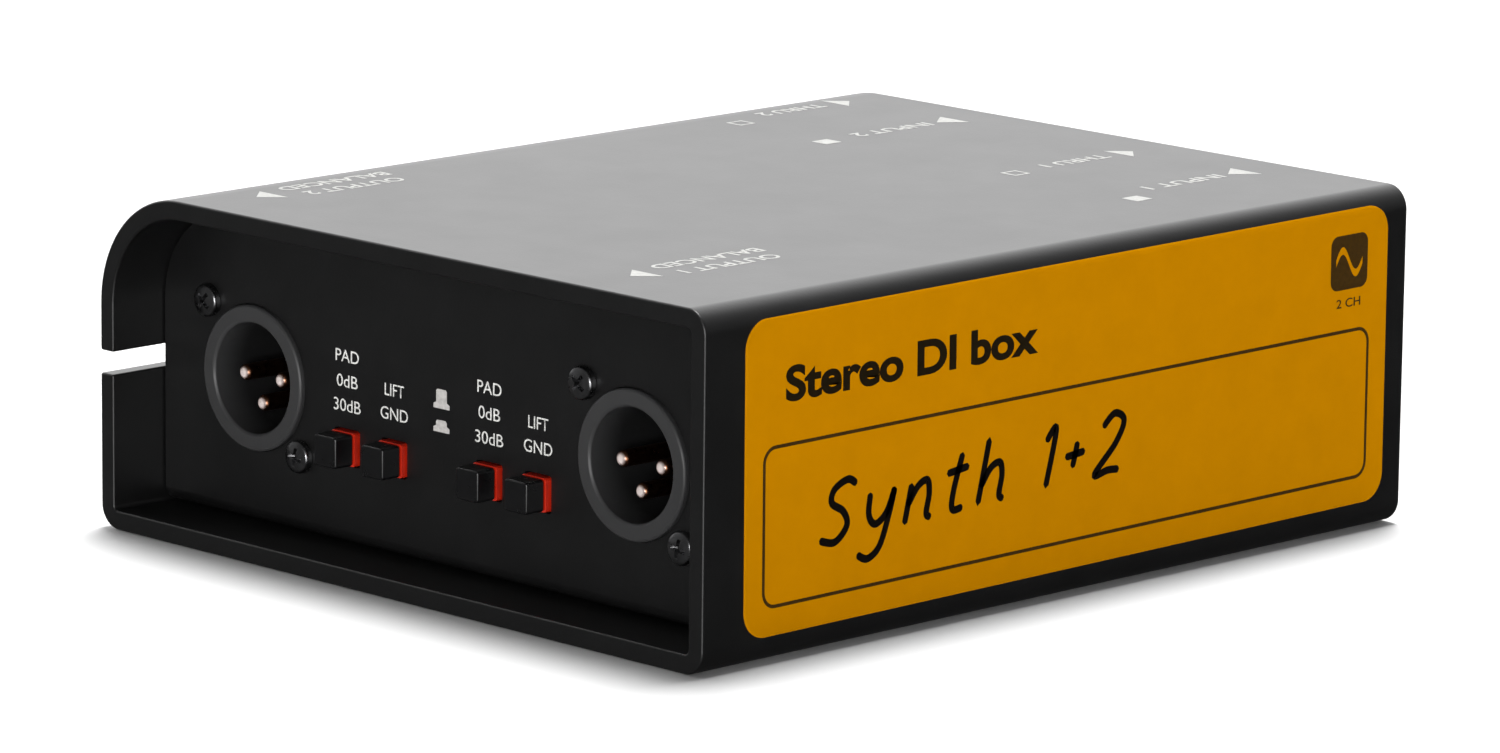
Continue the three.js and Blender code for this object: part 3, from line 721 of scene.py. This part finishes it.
def build_front_chassis():
    holes = floor_holes(CASE_SCREWS[:2])
    for channel in CHANNELS:
        ring = rod(RING_RADIUS + 0.12, -PUNCH, PUNCH)
        holes.append(punched(ring, f"xlr_shell_ch{channel}", -PANEL))
        for use in PANEL_SCREW_TURNS:
            screw = rod(PANEL_SCREW_HOLE, -PUNCH, PUNCH, 24)
            holes.append(punched(screw, f"xlr_screw_{use}_ch{channel}", -PANEL))
        for use in USES:
            opening = prism(rounded_square(COLLAR_SIZE + 0.5, 0.5, 4), -PUNCH, PUNCH)
            holes.append(punched(opening, f"{use}_button_cap_ch{channel}", -PANEL))
    build_chassis("front", -1, FLOOR_JOINT, holes)


def build_rear_chassis():
    holes = floor_holes(CASE_SCREWS[2:])
    for use, channel in JACKS:
        bush = rod(BUSH_RADIUS + 0.2, -PUNCH, PUNCH)
        holes.append(punched(bush, f"{use}_jack_body_ch{channel}", PANEL))
    build_chassis("rear", 1, FLOOR_JOINT + CLEARANCE, holes)


# ---- Screws ----
PAN_CROWN = 5.5  # radius of the head's crown
PAN_CROWN_ANGLE = 18  # from its middle to where its edge starts
PAN_EDGE = 0.6  # radius of the head's edge
PANEL_SCREW_TURNS = {"upper": 40, "lower": 12}  # degrees that each was left turned by


def threads(root, crest, start, end, pitch):
    """The zigzag profile of a thread, as rings."""
    count = round((end - start) / pitch)
    points = []
    for i in range(count):
        y = start + (end - start) * i / count
        points += [(root, y), (crest, y + pitch * 0.45), (crest, y + pitch * 0.55)]
    return [*points, (root, end)]


def cross_recess(start, end, reach):
    """The cutter of a cross recess: two tapered slots and a small square where they cross."""
    half, foot = 0.3, reach * 0.45
    arms = []
    for turn in (0, 90):
        form = prism([(-reach, start), (reach, start), (foot, end), (-foot, end)], -half, half, "Z")
        arms.append(moved(form, turn=Matrix.Rotation(math.radians(turn), 4, "Y")))
    return [*arms, lathe([(0, start), (0.8, start), (0.45, end), (0, end)], 4)]


def build_case_screws():
    """Countersunk screws with a cross recess, sunk a little into the underside."""
    low, rim, tip = 0.2, 0.15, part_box(CASE_SCREWS[0])[1].z / MM
    head = [(0, low), (HEAD, low), (HEAD, low + rim), (SHANK, low + HEAD - SHANK + rim)]
    thread = threads(SHANK - 0.12, SHANK, low + 2.2, tip - 0.7, 0.45)
    screw = lathe([*head, *thread, (0.6, tip), (0, tip)], 48)
    mesh = finished_mesh(combined(screw, "DIFFERENCE", *cross_recess(low - 0.5, low + 1.1, 1.6)))
    for name in CASE_SCREWS:
        stand_in(name, "countersunk", mesh, SCREW_STEEL, on_underside(name))


def build_panel_screws():
    """Pan head screws with a cross recess, standing on the front panel."""
    radius, shank, under, top, tip = 2.4, 1.2, -0.05, -1.5, 4.9
    crown = arc(0, top + PAN_CROWN, PAN_CROWN, -90, -90 + PAN_CROWN_ANGLE, 6)
    edge = arc(radius - PAN_EDGE, crown[-1][1] + PAN_EDGE, PAN_EDGE, -60, 0, 5)
    head = [*crown, *edge, (radius, under)]
    thread = threads(shank - 0.15, shank, under, tip - 0.5, 0.5)
    screw = lathe([*head, *thread, (0, tip)], 48)
    screw = combined(screw, "DIFFERENCE", *cross_recess(top - 0.6, top + 1.0, 1.9))
    mesh = finished_mesh(bevelled(screw, 0.06, 2, 50))
    for channel in CHANNELS:
        for use, degrees in PANEL_SCREW_TURNS.items():
            name = f"xlr_screw_{use}_ch{channel}"
            place = on_front(name) @ Matrix.Rotation(math.radians(degrees), 4, "Y")
            stand_in(name, "pan_head", mesh, SCREW_STEEL, place)


# ---- Three-pin connectors ----
RING_RADIUS = 10.6
BORE_RADIUS = 8.05
RING_FACE = -0.8
SOCKET_DEPTH = 16
SHELL_END = 19.2
FLANGE = 26
FLANGE_THICKNESS = 3
PIN_RADIUS = 1.2
PIN_CIRCLE = 3.9
PIN_TIP = RING_FACE + 1.75
LEG = 1  # side of a contact's square leg
LEG_Y = 24.5


def shell_form():
    """The bore's moulding, with its rim proud of the panel and its flange behind it."""
    start, step, neck = (BORE_RADIUS, 9), BEHIND_PANEL + 1, RING_RADIUS - 0.6
    mouth = [(BORE_RADIUS, RING_FACE + 0.35), (BORE_RADIUS + 0.35, RING_FACE)]
    rim = [(RING_RADIUS - 0.3, RING_FACE), (RING_RADIUS, RING_FACE + 0.3), (RING_RADIUS, step)]
    barrel = [(neck, step), (neck, SHELL_END), (BORE_RADIUS, SHELL_END)]
    ring = lathe(softened([start, *mouth, *rim, *barrel, start], 0.15)[:-1], 96, closed=True)
    back = BEHIND_PANEL + FLANGE_THICKNESS
    plate = bevelled(prism(rounded_square(FLANGE, 2.5), BEHIND_PANEL, back), 0.3)
    plate = combined(plate, "DIFFERENCE", rod(BORE_RADIUS + 0.8, 0, 8, 96))
    return combined(ring, "UNION", plate)


def insert_form():
    """The contact carrier: a disc with a shallow groove round its three contacts."""
    front, shoulder = RING_FACE + SOCKET_DEPTH, SHELL_END + CLEARANCE
    inner, outer = BORE_RADIUS - 0.15, RING_RADIUS - 0.9
    groove = [(5.9, front), (6.2, front + 0.4), (6.8, front + 0.4), (7.1, front)]
    profile = [(0, front), *groove, (inner, front)]
    profile += [(inner, shoulder), (outer, shoulder), (outer, shoulder + 3), (0, shoulder + 3)]
    disc = lathe(softened(profile, 0.12), 64)
    for x, z in pin_places():
        disc = combined(disc, "DIFFERENCE", moved(rod(PIN_RADIUS + 0.2, 0, 30, 32), x, 0, z))
    return disc


def pin_places():
    return [(-PIN_CIRCLE, 0), (PIN_CIRCLE, 0), (0, -PIN_CIRCLE)]


def pin_form():
    """A turned contact with a domed tip."""
    dome, end = arc(0, 0, 1, 90, 0, 10), LEG_Y + LEG / 2
    profile = [(PIN_RADIUS * x, PIN_TIP + 0.9 * (1 - z)) for x, z in dome]
    return lathe([*profile, (PIN_RADIUS, end), (0, end)], 40)


def with_leg(pin, name, z):
    """The turned contact with its solder leg, which ends where the CAD contact's does."""
    end = (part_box(name)[0].z - middle("xlr_insert_ch1").z) / MM - z
    leg = bevelled(box(-LEG / 2, LEG / 2, LEG_Y - LEG / 2, LEG_Y + LEG / 2, end, 0), 0.1)
    form = bmesh.new()
    form.from_mesh(pin)
    bmesh.ops.scale(form, vec=(1 / MM,) * 3, verts=form.verts)
    return finished_mesh(combined(form, "UNION", leg))


def build_connectors():
    shell, insert, pin = (finished_mesh(form()) for form in (shell_form, insert_form, pin_form))
    for channel in CHANNELS:
        place = on_front(f"xlr_insert_ch{channel}")
        stand_in(f"xlr_shell_ch{channel}", "cast", shell, CONNECTOR_GREY_WITH_PAINTED_SHADE, place)
        stand_in(f"xlr_insert_ch{channel}", "moulded", insert, INSERT_BLACK, place)
        for i, (x, z) in enumerate(pin_places(), 1):
            name = f"xlr_pin_{i}_ch{channel}"
            at = place @ Matrix.Translation((x * MM, 0, z * MM))
            stand_in(name, "turned", with_leg(pin, name, z), PIN_GOLD_PAINTED_LIGHT, at)


# ---- Push buttons ----
COLLAR_SIZE = 4.9
COLLAR_FACE = -0.85
COLLAR_END = 5
CAP_SIZE = 4.6
CAP_FACE = -4.3
STEM = 2.2
STEM_LENGTH = 2.3
GUIDE_RADIUS = 0.9  # inside the spring
GUIDE_END = 8.5
SPRING_RADIUS = 1.7
SPRING_WIRE = 0.25
SPRING_TURNS = 5
USES = ("pad", "lift")


def plunger_form():
    """The red collar, the stem that holds the cap and the guide inside the spring."""
    collar = bevelled(prism(rounded_square(COLLAR_SIZE, 0.5, 6), COLLAR_FACE, COLLAR_END), 0.15)
    stem = prism(rounded_square(STEM, 0.2, 2), COLLAR_FACE - STEM_LENGTH, 0)
    radius, start, end, corner = GUIDE_RADIUS, COLLAR_END - 1, GUIDE_END, 0.3
    guide = lathe([(0, start), (radius, start), (radius, end - corner), (radius - corner, end), (0, end)], 24)
    return combined(collar, "UNION", stem, guide)


def cap_form():
    """A square cap with soft edges, on the plunger's stem."""
    back = COLLAR_FACE - 0.05
    cap = bevelled(prism(rounded_square(CAP_SIZE, 0.5, 8), CAP_FACE, back), 0.36, 5)
    socket = prism(rounded_square(STEM + 0.3, 0.2, 2), back - STEM_LENGTH - 0.1, back + 1)
    return combined(cap, "DIFFERENCE", socket)


def spring_path(start, end, steps_a_turn=28):
    """A helix about the Y axis whose end turns lie closer than its middle ones."""
    steps = SPRING_TURNS * steps_a_turn
    points = []
    for i in range(steps + 1):
        share = i / steps
        eased = share - 0.08 * math.sin(2 * math.pi * share)
        angle = 2 * math.pi * SPRING_TURNS * share
        y = start + (end - start) * eased
        points.append((SPRING_RADIUS * math.cos(angle), y, SPRING_RADIUS * math.sin(angle)))
    return points


def build_buttons():
    plunger, cap = finished_mesh(plunger_form()), finished_mesh(cap_form())
    for channel in CHANNELS:
        for use in USES:
            body = f"{use}_button_ch{channel}"
            names = [f"{use}_{part}_ch{channel}" for part in ("plunger", "button_cap", "spring")]
            place = on_front(names[0])
            stand_in(names[0], "collar", plunger, COLLAR_RED, place, body)
            stand_in(names[1], "square", cap, CAP_BLACK, place, body)
            build_spring(names[2], place)


def build_spring(name, place):
    """The return spring, coiled between the ends of the CAD spring, on a mesh of its own."""
    front, rear = (corner.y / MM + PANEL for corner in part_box(name))
    wire = tube(spring_path(front + SPRING_WIRE, rear - SPRING_WIRE), SPRING_WIRE)
    spring = stand_in(name, "coil", finished_mesh(wire), SPRING_STEEL, place)
    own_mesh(spring)


# ---- Jack sockets ----
BUSH_RADIUS = 4.65
BUSH_FACE = -4.5
JACK_BORE = 3.25
JACK_BODY = 14
JACK_END = BEHIND_PANEL + 24
JACK_WALL = 1.5
JACK_BORE_END = 9.8
WASHER_RADIUS = 7
WASHER_FACE = -0.8
NUT_CORNER = 6.9
NUT_FACE = -3.3
NUT_TURN, NUT_TURN_STEP = 11, 23  # degrees: how the first nut was left, and each one after it
JACKS = [(use, channel) for channel in CHANNELS for use in ("input", "thru")]


def jack_form():
    """A threaded bush on a square body, with a bore for the plug and a hollow for the contacts."""
    rim = [(0, BUSH_FACE), (BUSH_RADIUS - 0.6, BUSH_FACE), (BUSH_RADIUS - 0.25, BUSH_FACE + 0.35)]
    thread = threads(BUSH_RADIUS - 0.28, BUSH_RADIUS, BUSH_FACE + 0.4, BEHIND_PANEL, 0.62)
    bush = lathe([*rim, *thread, (BUSH_RADIUS, BEHIND_PANEL + 1), (0, BEHIND_PANEL + 1)], 64)
    body = bevelled(prism(rounded_square(JACK_BODY, 0.8, 4), BEHIND_PANEL, JACK_END), 0.3)
    mouth = [(JACK_BORE + 1.5, BUSH_FACE - 1.5), (JACK_BORE + 0.35, BUSH_FACE), (JACK_BORE, BUSH_FACE + 0.5)]
    bore = lathe([(0, BUSH_FACE - 1.5), *mouth, (JACK_BORE, JACK_BORE_END), (0, JACK_BORE_END)], 64)
    inside = rounded_square(JACK_BODY - 2 * JACK_WALL, 0.5, 2)
    hollow = prism(inside, BEHIND_PANEL + 4, JACK_END - JACK_WALL)
    return combined(combined(bush, "UNION", body), "DIFFERENCE", bore, hollow)


def washer_form():
    inner, outer, front, back = BUSH_RADIUS + 0.2, WASHER_RADIUS, WASHER_FACE, -0.05
    profile = [(inner, -0.4), (inner, front), (outer, front), (outer, back), (inner, back), (inner, -0.4)]
    return lathe(softened(profile, 0.12)[:-1], 64, closed=True)


def nut_form():
    """A hexagon nut whose corners are turned off at both faces."""
    front, back, corner, hole = NUT_FACE, WASHER_FACE - 0.05, NUT_CORNER, BUSH_RADIUS + 0.1
    hexagon = prism(circle(corner, steps=6), front, back)
    turned_front = [(0, front), (corner - 0.9, front), (corner, front + 0.5)]
    turned_back = [(corner, back - 0.3), (corner - 0.5, back), (0, back)]
    nut = combined(hexagon, "INTERSECT", lathe(turned_front + turned_back, 96))
    countersink = [(0, front - 1), (hole + 1.3, front - 1), (hole, front + 0.4)]
    return combined(nut, "DIFFERENCE", lathe([*countersink, (hole, 0), (0, 0)], 64))


def build_jacks():
    jack, washer, nut = (finished_mesh(form()) for form in (jack_form, washer_form, nut_form))
    for number, (use, channel) in enumerate(JACKS):
        name = f"{use}_jack_{{}}_ch{channel}"
        body, ring, hexagon = (name.format(part) for part in ("body", "washer", "nut"))
        place = on_rear(body)
        turned = place @ Matrix.Rotation(math.radians(NUT_TURN + NUT_TURN_STEP * number), 4, "Y")
        stand_in(body, "threaded", jack, SWITCH_BLACK, place)
        stand_in(ring, "flat", washer, PLATED_STEEL, place)
        stand_in(hexagon, "hexagon", nut, PLATED_STEEL, turned)


# ---- Printing: generic words, arrows and signs ----
# Words over each button: the text, its middle's height and its width
BUTTON_WORDS = {
    "pad": [("PAD", 30.2, 4.9), ("0dB", 26.6, 4.4), ("30dB", 23.1, 5.7)],
    "lift": [("LIFT", 26.8, 4.0), ("GND", 23.4, 5.7)],
}
PANEL_CAPITAL = 1.75
PANEL_BASELINE = 0.87  # below a word's middle
TOP_CAPITAL = 2.7
TOP_WEIGHT = 0.02  # how much bolder than the plain letters
ARROW_HALF = 3.1
SQUARE = 3.2
# Words over each output: their width, and where their middle is along and across the box
OUTPUT_WORDS = {"OUTPUT {}": (18.2, 45.3, 1.2), "BALANCED": (20.4, 45.0, -3.6)}
OUTPUT_ARROW = (61.8, 58.5)  # tip and base
OUTPUT_SHIFT = -1.2
OUTPUT_BACK = {1: 0.4, 2: 1.6}
# Legend over each jack: the arrow's tip and base, the words' width and near end, and the square's
# place and line width
JACK_LEGENDS = {
    "input": ((-58.6, -62.6), 16.1, 40.9, -33.9, None),
    "thru": ((-62.4, -59.2), 13.4, 43.1, -35.8, 0.45),
}
JACK_SHIFT = -2.4
JACK_WORD_SHIFT = -1.3
SQUARE_SHIFT = {("input", 1): 2.3, ("input", 2): -1.3, ("thru", 1): -1.2, ("thru", 2): 0.9}
FIELD = (-60.1, 63.2, 7.9, 30.3, 2.4)  # left, right, low, high and corner radius
FIELD_LINE = 0.5


def button_sign(top, low):
    """A push button seen from the side: a shaft on a wider foot, up to the top."""
    foot, shaft = 1.65, 1.1
    side = [(foot, 0), (foot, 0.65), (shaft, 0.9), (shaft, top - 0.25), (shaft - 0.25, top)]
    outline = side + [(-x, z) for x, z in side[::-1]]
    return filled([[(x, low + z) for x, z in outline]], INK)


def build_front_print():
    signs = merged(button_sign(2.75, 25.75), button_sign(1.7, 22.4))
    piece("front_signs", finished_mesh(signs), SIGN_INK, FRONT_PLANE)
    forms = []
    for channel in CHANNELS:
        for use, words in BUTTON_WORDS.items():
            x = middle(f"{use}_button_cap_ch{channel}").x / MM
            for text, z, width in words:
                forms.append(moved(letters(text, PANEL_CAPITAL, width), x, z - PANEL_BASELINE))
    mesh = finished_mesh(merged(*forms))
    piece("front_print", mesh, WHITE_INK, FRONT_PLANE)


def arrow(tip, base):
    """A solid triangle that points along the local x axis from its base to its tip."""
    return filled([[(base, -ARROW_HALF), (tip, 0), (base, ARROW_HALF)]], INK)


def square_sign(size, line=None):
    """A filled square, or an open one of that line width."""
    outlines = [rounded_square(size, 0.1, 2)]
    if line:
        outlines.append(rounded_square(size - 2 * line, 0.1, 2))
    return filled(outlines, INK)


def build_top_print():
    """Arrows and words over each socket, read from the right side of the box."""
    forms = []
    for channel in CHANNELS:
        x = middle(f"xlr_insert_ch{channel}").x / MM + OUTPUT_SHIFT
        back = OUTPUT_BACK[channel]
        forms.append(moved(arrow(*OUTPUT_ARROW), -back, x))
        for text, (width, along, across) in OUTPUT_WORDS.items():
            words = letters(text.format(channel), TOP_CAPITAL, width, TOP_WEIGHT)
            forms.append(moved(words, along - back, x + across))
    for use, channel in JACKS:
        arrow_ends, width, near, square, line = JACK_LEGENDS[use]
        jack = middle(f"{use}_jack_body_ch{channel}").x / MM
        x = jack + JACK_SHIFT
        forms.append(moved(arrow(*arrow_ends), 0, x))
        words = letters(f"{use.upper()} {channel}", TOP_CAPITAL, width, TOP_WEIGHT)
        forms.append(moved(words, -near - width / 2, x + JACK_WORD_SHIFT))
        forms.append(moved(square_sign(SQUARE, line), square, jack + SQUARE_SHIFT[use, channel]))
    mesh = finished_mesh(merged(*forms))
    piece("top_print", mesh, WHITE_INK_SHADED_FOR_TOP, TOP_PLANE)


def wave_sign(size):
    """A rounded square with a wave through it, as an open slot."""
    reach, swing, line = size * 0.36, size * 0.22, size * 0.07
    turns = [math.pi * i / 16 for i in range(33)]
    curve = [(reach * (turn / math.pi - 1), swing * math.sin(turn)) for turn in turns]
    slot = [(x, y + line) for x, y in curve] + [(x, y - line) for x, y in curve[::-1]]
    return filled([rounded_square(size, size * 0.18), slot], INK)


# Each letter: how wide it is and its pen strokes, in units of the small letters' height
GLYPHS = {
    "S": (0.86, [
        [(0.74, 1.24), (0.5, 1.4), (0.2, 1.24), (0.18, 0.94), (0.5, 0.68), (0.64, 0.34), (0.4, 0.02),
         (0.0, 0.14)],
    ]),
    "y": (0.72, [
        [(0.0, 0.96), (0.04, 0.45), (0.24, 0.2), (0.48, 0.42), (0.6, 0.96)],
        [(0.6, 0.96), (0.54, 0.3), (0.42, -0.34), (0.16, -0.56), (-0.12, -0.4)],
    ]),
    "n": (0.74, [
        [(0.04, 0.94), (0.0, 0.0)],
        [(0.01, 0.42), (0.2, 0.82), (0.42, 0.92), (0.52, 0.6), (0.52, 0.14), (0.66, 0.04)],
    ]),
    "t": (0.56, [
        [(0.24, 1.36), (0.14, 0.5), (0.18, 0.08), (0.44, 0.08)],
        [(-0.1, 0.94), (0.46, 1.0)],
    ]),
    "h": (0.74, [
        [(0.06, 1.56), (0.0, 0.0)],
        [(0.01, 0.42), (0.2, 0.82), (0.42, 0.9), (0.52, 0.6), (0.52, 0.14), (0.66, 0.04)],
    ]),
    "1": (0.3, [[(0.0, 1.1), (0.22, 1.36), (0.16, 0.0)]]),
    "+": (0.6, [[(0.0, 0.62), (0.52, 0.66)], [(0.28, 0.94), (0.24, 0.32)]]),
    "2": (0.66, [
        [(0.04, 1.1), (0.3, 1.38), (0.58, 1.16), (0.44, 0.66), (0.0, 0.03), (0.34, 0.06), (0.64, 0.02)],
    ]),
    " ": (0.3, []),
}


def handwriting(words, small_height, start, baseline, climb):
    """Marker pen strokes of slanted letters on a slightly rising line."""
    slant, stretch, gap, pen = 0.2, 1.32, 0.26, 0.55
    forms = []
    x = 0.0
    for letter in words:
        width, strokes = GLYPHS[letter]
        for points in strokes:
            line = []
            for across, up in points:
                along = (x + across) * stretch + up * slant
                line.append((start + along * small_height, baseline + (up + along * climb) * small_height))
            forms.append(stroke(line, pen))
        x += width + gap
    return merged(*forms)


def build_label_print():
    border = filled([inset_rectangle(FIELD, 0), inset_rectangle(FIELD, FIELD_LINE)], INK)
    title = letters("Stereo DI box", cap_height=4.9, width=49.2, weight=0.034)
    channels = letters("2 CH", cap_height=1.3, width=5.2, weight=0.01)
    written = handwriting("Synth 1+2", small_height=6.0, start=-49.5, baseline=15.0, climb=0.03)
    prints = [
        ("label_field_line", border, BROWN_INK),
        ("label_title", moved(title, -31.3, 36.1), TITLE_INK),
        ("label_sign", merged(moved(wave_sign(8), 58.5, 40.2), moved(channels, 58.5, 33.6)), BROWN_INK),
        ("label_handwriting", written, MARKER_INK),
    ]
    for name, form, material in prints:
        piece(name, finished_mesh(form), material, LABEL_PLANE)


# ---- CAD nodes that show as they are ----
def dress(name, material):
    for material_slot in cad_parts[name].material_slots:
        material_slot.material = material


def dress_inner_parts():
    dress("circuit_board", BOARD_GREEN)
    for channel in CHANNELS:
        dress(f"transformer_core_ch{channel}", CORE_STEEL)
        dress(f"transformer_coil_ch{channel}", COIL_AMBER)
        for use in USES:
            dress(f"{use}_switch_body_ch{channel}", SWITCH_BLACK)
    for use, channel in JACKS:
        dress(f"{use}_jack_contact_ch{channel}", LEAF_GOLD)


# ---- Camera, floor and light ----
CAMERA_PLACE = (0.77373, -0.76810, 0.24596)  # metres: this and the angles fit the photograph
CAMERA_AZIMUTH = 45.251  # degrees, as are all the angles here
CAMERA_ELEVATION = 11.611
CAMERA_ROLL = 0.652
LENS = 184.47
KEY_AZIMUTH = CAMERA_AZIMUTH + 161
KEY_ELEVATION = 79.5
KEY_WIDTH = 18
KEY_ENERGY = 3.5
FILLS = [("fill", 34, 4, 6.0, 0.3), ("edge", -74, 44, 0.8, 0.15)]  # name, azimuth, elevation, watts, metres
FILL_DISTANCE = 1.4  # metres
FLOOR_HALF = 6000
FLOOR_GAP = 0.1  # below the box
GLOW = 6.0  # strength of the studio next to the camera
BELOW = 0.03  # and under the horizon


def toward(azimuth, elevation):
    """The direction of a light, by the same angles as a camera's: 0 is in front, 90 on the right."""
    around, up = math.radians(azimuth), math.radians(elevation)
    return Vector((math.sin(around) * math.cos(up), -math.cos(around) * math.cos(up), math.sin(up)))


def build_camera():
    """A long lens at the photograph's place, level but for a slight roll."""
    azimuth, roll = math.radians(CAMERA_AZIMUTH), math.radians(CAMERA_ROLL)
    level = Vector((math.cos(azimuth), math.sin(azimuth), 0))
    forward = -toward(CAMERA_AZIMUTH, CAMERA_ELEVATION)
    upright = level.cross(forward)
    right = level * math.cos(roll) + upright * math.sin(roll)
    up = upright * math.cos(roll) - level * math.sin(roll)
    data = bpy.data.cameras.new("camera")
    data.lens = LENS
    data.sensor_width = 36
    data.clip_start, data.clip_end = 0.05, 50
    camera = new_object("camera", data)
    turn = Matrix((right, up, -forward)).transposed().to_4x4()
    camera.matrix_world = Matrix.Translation(CAMERA_PLACE) @ turn
    bpy.context.scene.camera = camera


def build_floor():
    form = bmesh.new()
    bmesh.ops.create_grid(form, x_segments=1, y_segments=1, size=FLOOR_HALF)
    mesh = finished_mesh(moved(form, z=-FLOOR_GAP))
    paper = shader("floor_paper", Base_Color=(0.92, 0.92, 0.92, 1), Roughness=0.9, Specular_IOR_Level=0.1)
    mesh.materials.append(paper)
    floor = new_object("floor", mesh)
    floor.visible_glossy = False


def aim(light, place):
    """The light at a place, facing the box."""
    obj = new_object(light.name, light)
    obj.location = place
    obj.rotation_euler = (-place).to_track_quat("-Z", "Y").to_euler()
    obj.visible_camera = False


def build_lights():
    """A broad key from above and behind, and two smaller lights in front."""
    key = bpy.data.lights.new("key", "SUN")
    key.energy = KEY_ENERGY
    key.angle = math.radians(KEY_WIDTH)
    aim(key, toward(KEY_AZIMUTH, KEY_ELEVATION))
    for name, azimuth, elevation, energy, size in FILLS:
        fill = bpy.data.lights.new(name, "AREA")
        fill.shape = "DISK"
        fill.size = size
        fill.energy = energy
        aim(fill, toward(azimuth, elevation) * FILL_DISTANCE)


def facing(world, direction, way):
    """How much a direction faces a way: 1 along it, 0 across it, -1 against it."""
    dot = node(world, "VectorMath", operation="DOT_PRODUCT")
    dot.inputs[1].default_value = way
    link(world, direction, dot.inputs[0])
    return dot.outputs["Value"]


def added(world, first, second):
    total = node(world, "Math", operation="ADD")
    link(world, first, total.inputs[0])
    link(world, second, total.inputs[1])
    return total.outputs[0]


def blend_values(world, factor, first, second):
    """first where the factor is 0, second where it is 1. Either may be a number."""
    mix = node(world, "Mix", data_type="FLOAT")
    link(world, factor, mix.inputs[0])
    for socket, value in ((mix.inputs[2], first), (mix.inputs[3], second)):
        if isinstance(value, (int, float)):
            socket.default_value = value
        else:
            link(world, value, socket)
    return mix.outputs[0]


def build_world():
    """A studio that is bright behind the box, dim in front and below, and a little lighter on the left.

    It glows next to the camera, for the screws and pins to reflect, and the camera itself sees white.
    """
    world = bpy.data.worlds.new("studio")
    bpy.context.scene.world = world
    world.use_nodes = True
    background = world.node_tree.nodes["Background"]
    background.inputs["Color"].default_value = (1, 1, 1, 1)
    direction = node(world, "TexCoord").outputs["Generated"]
    away = facing(world, direction, -toward(CAMERA_AZIMUTH, 0))
    left = facing(world, direction, toward(CAMERA_AZIMUTH - 90, 0))
    height = node(world, "SeparateXYZ")
    link(world, direction, height.inputs[0])
    above = spread(world, height.outputs["Z"], 0, 1, -0.03, 0.03)
    broad = spread(world, away, 0, 0.2, -0.2, 0.5)
    behind = spread(world, away, 0.06, 1.95, 0.34, 0.95)
    glow = spread(world, away, GLOW, 0, -1, -0.93)
    aside = spread(world, left, 0, 0.06, -0.2, 0.7)
    around = blend_values(world, above, BELOW, added(world, broad, behind))
    lit = added(world, around, added(world, glow, aside))
    camera_ray = node(world, "LightPath").outputs["Is Camera Ray"]
    link(world, blend_values(world, camera_ray, lit, 1.0), background.inputs["Strength"])


def build_studio():
    bpy.context.scene.view_settings.view_transform = "Standard"
    build_camera()
    build_floor()
    build_world()
    build_lights()


build_studio()
build_sleeve()
build_label()
build_front_chassis()
build_rear_chassis()
build_case_screws()
build_panel_screws()
build_connectors()
build_buttons()
build_jacks()
build_front_print()
build_top_print()
build_label_print()
dress_inner_parts()
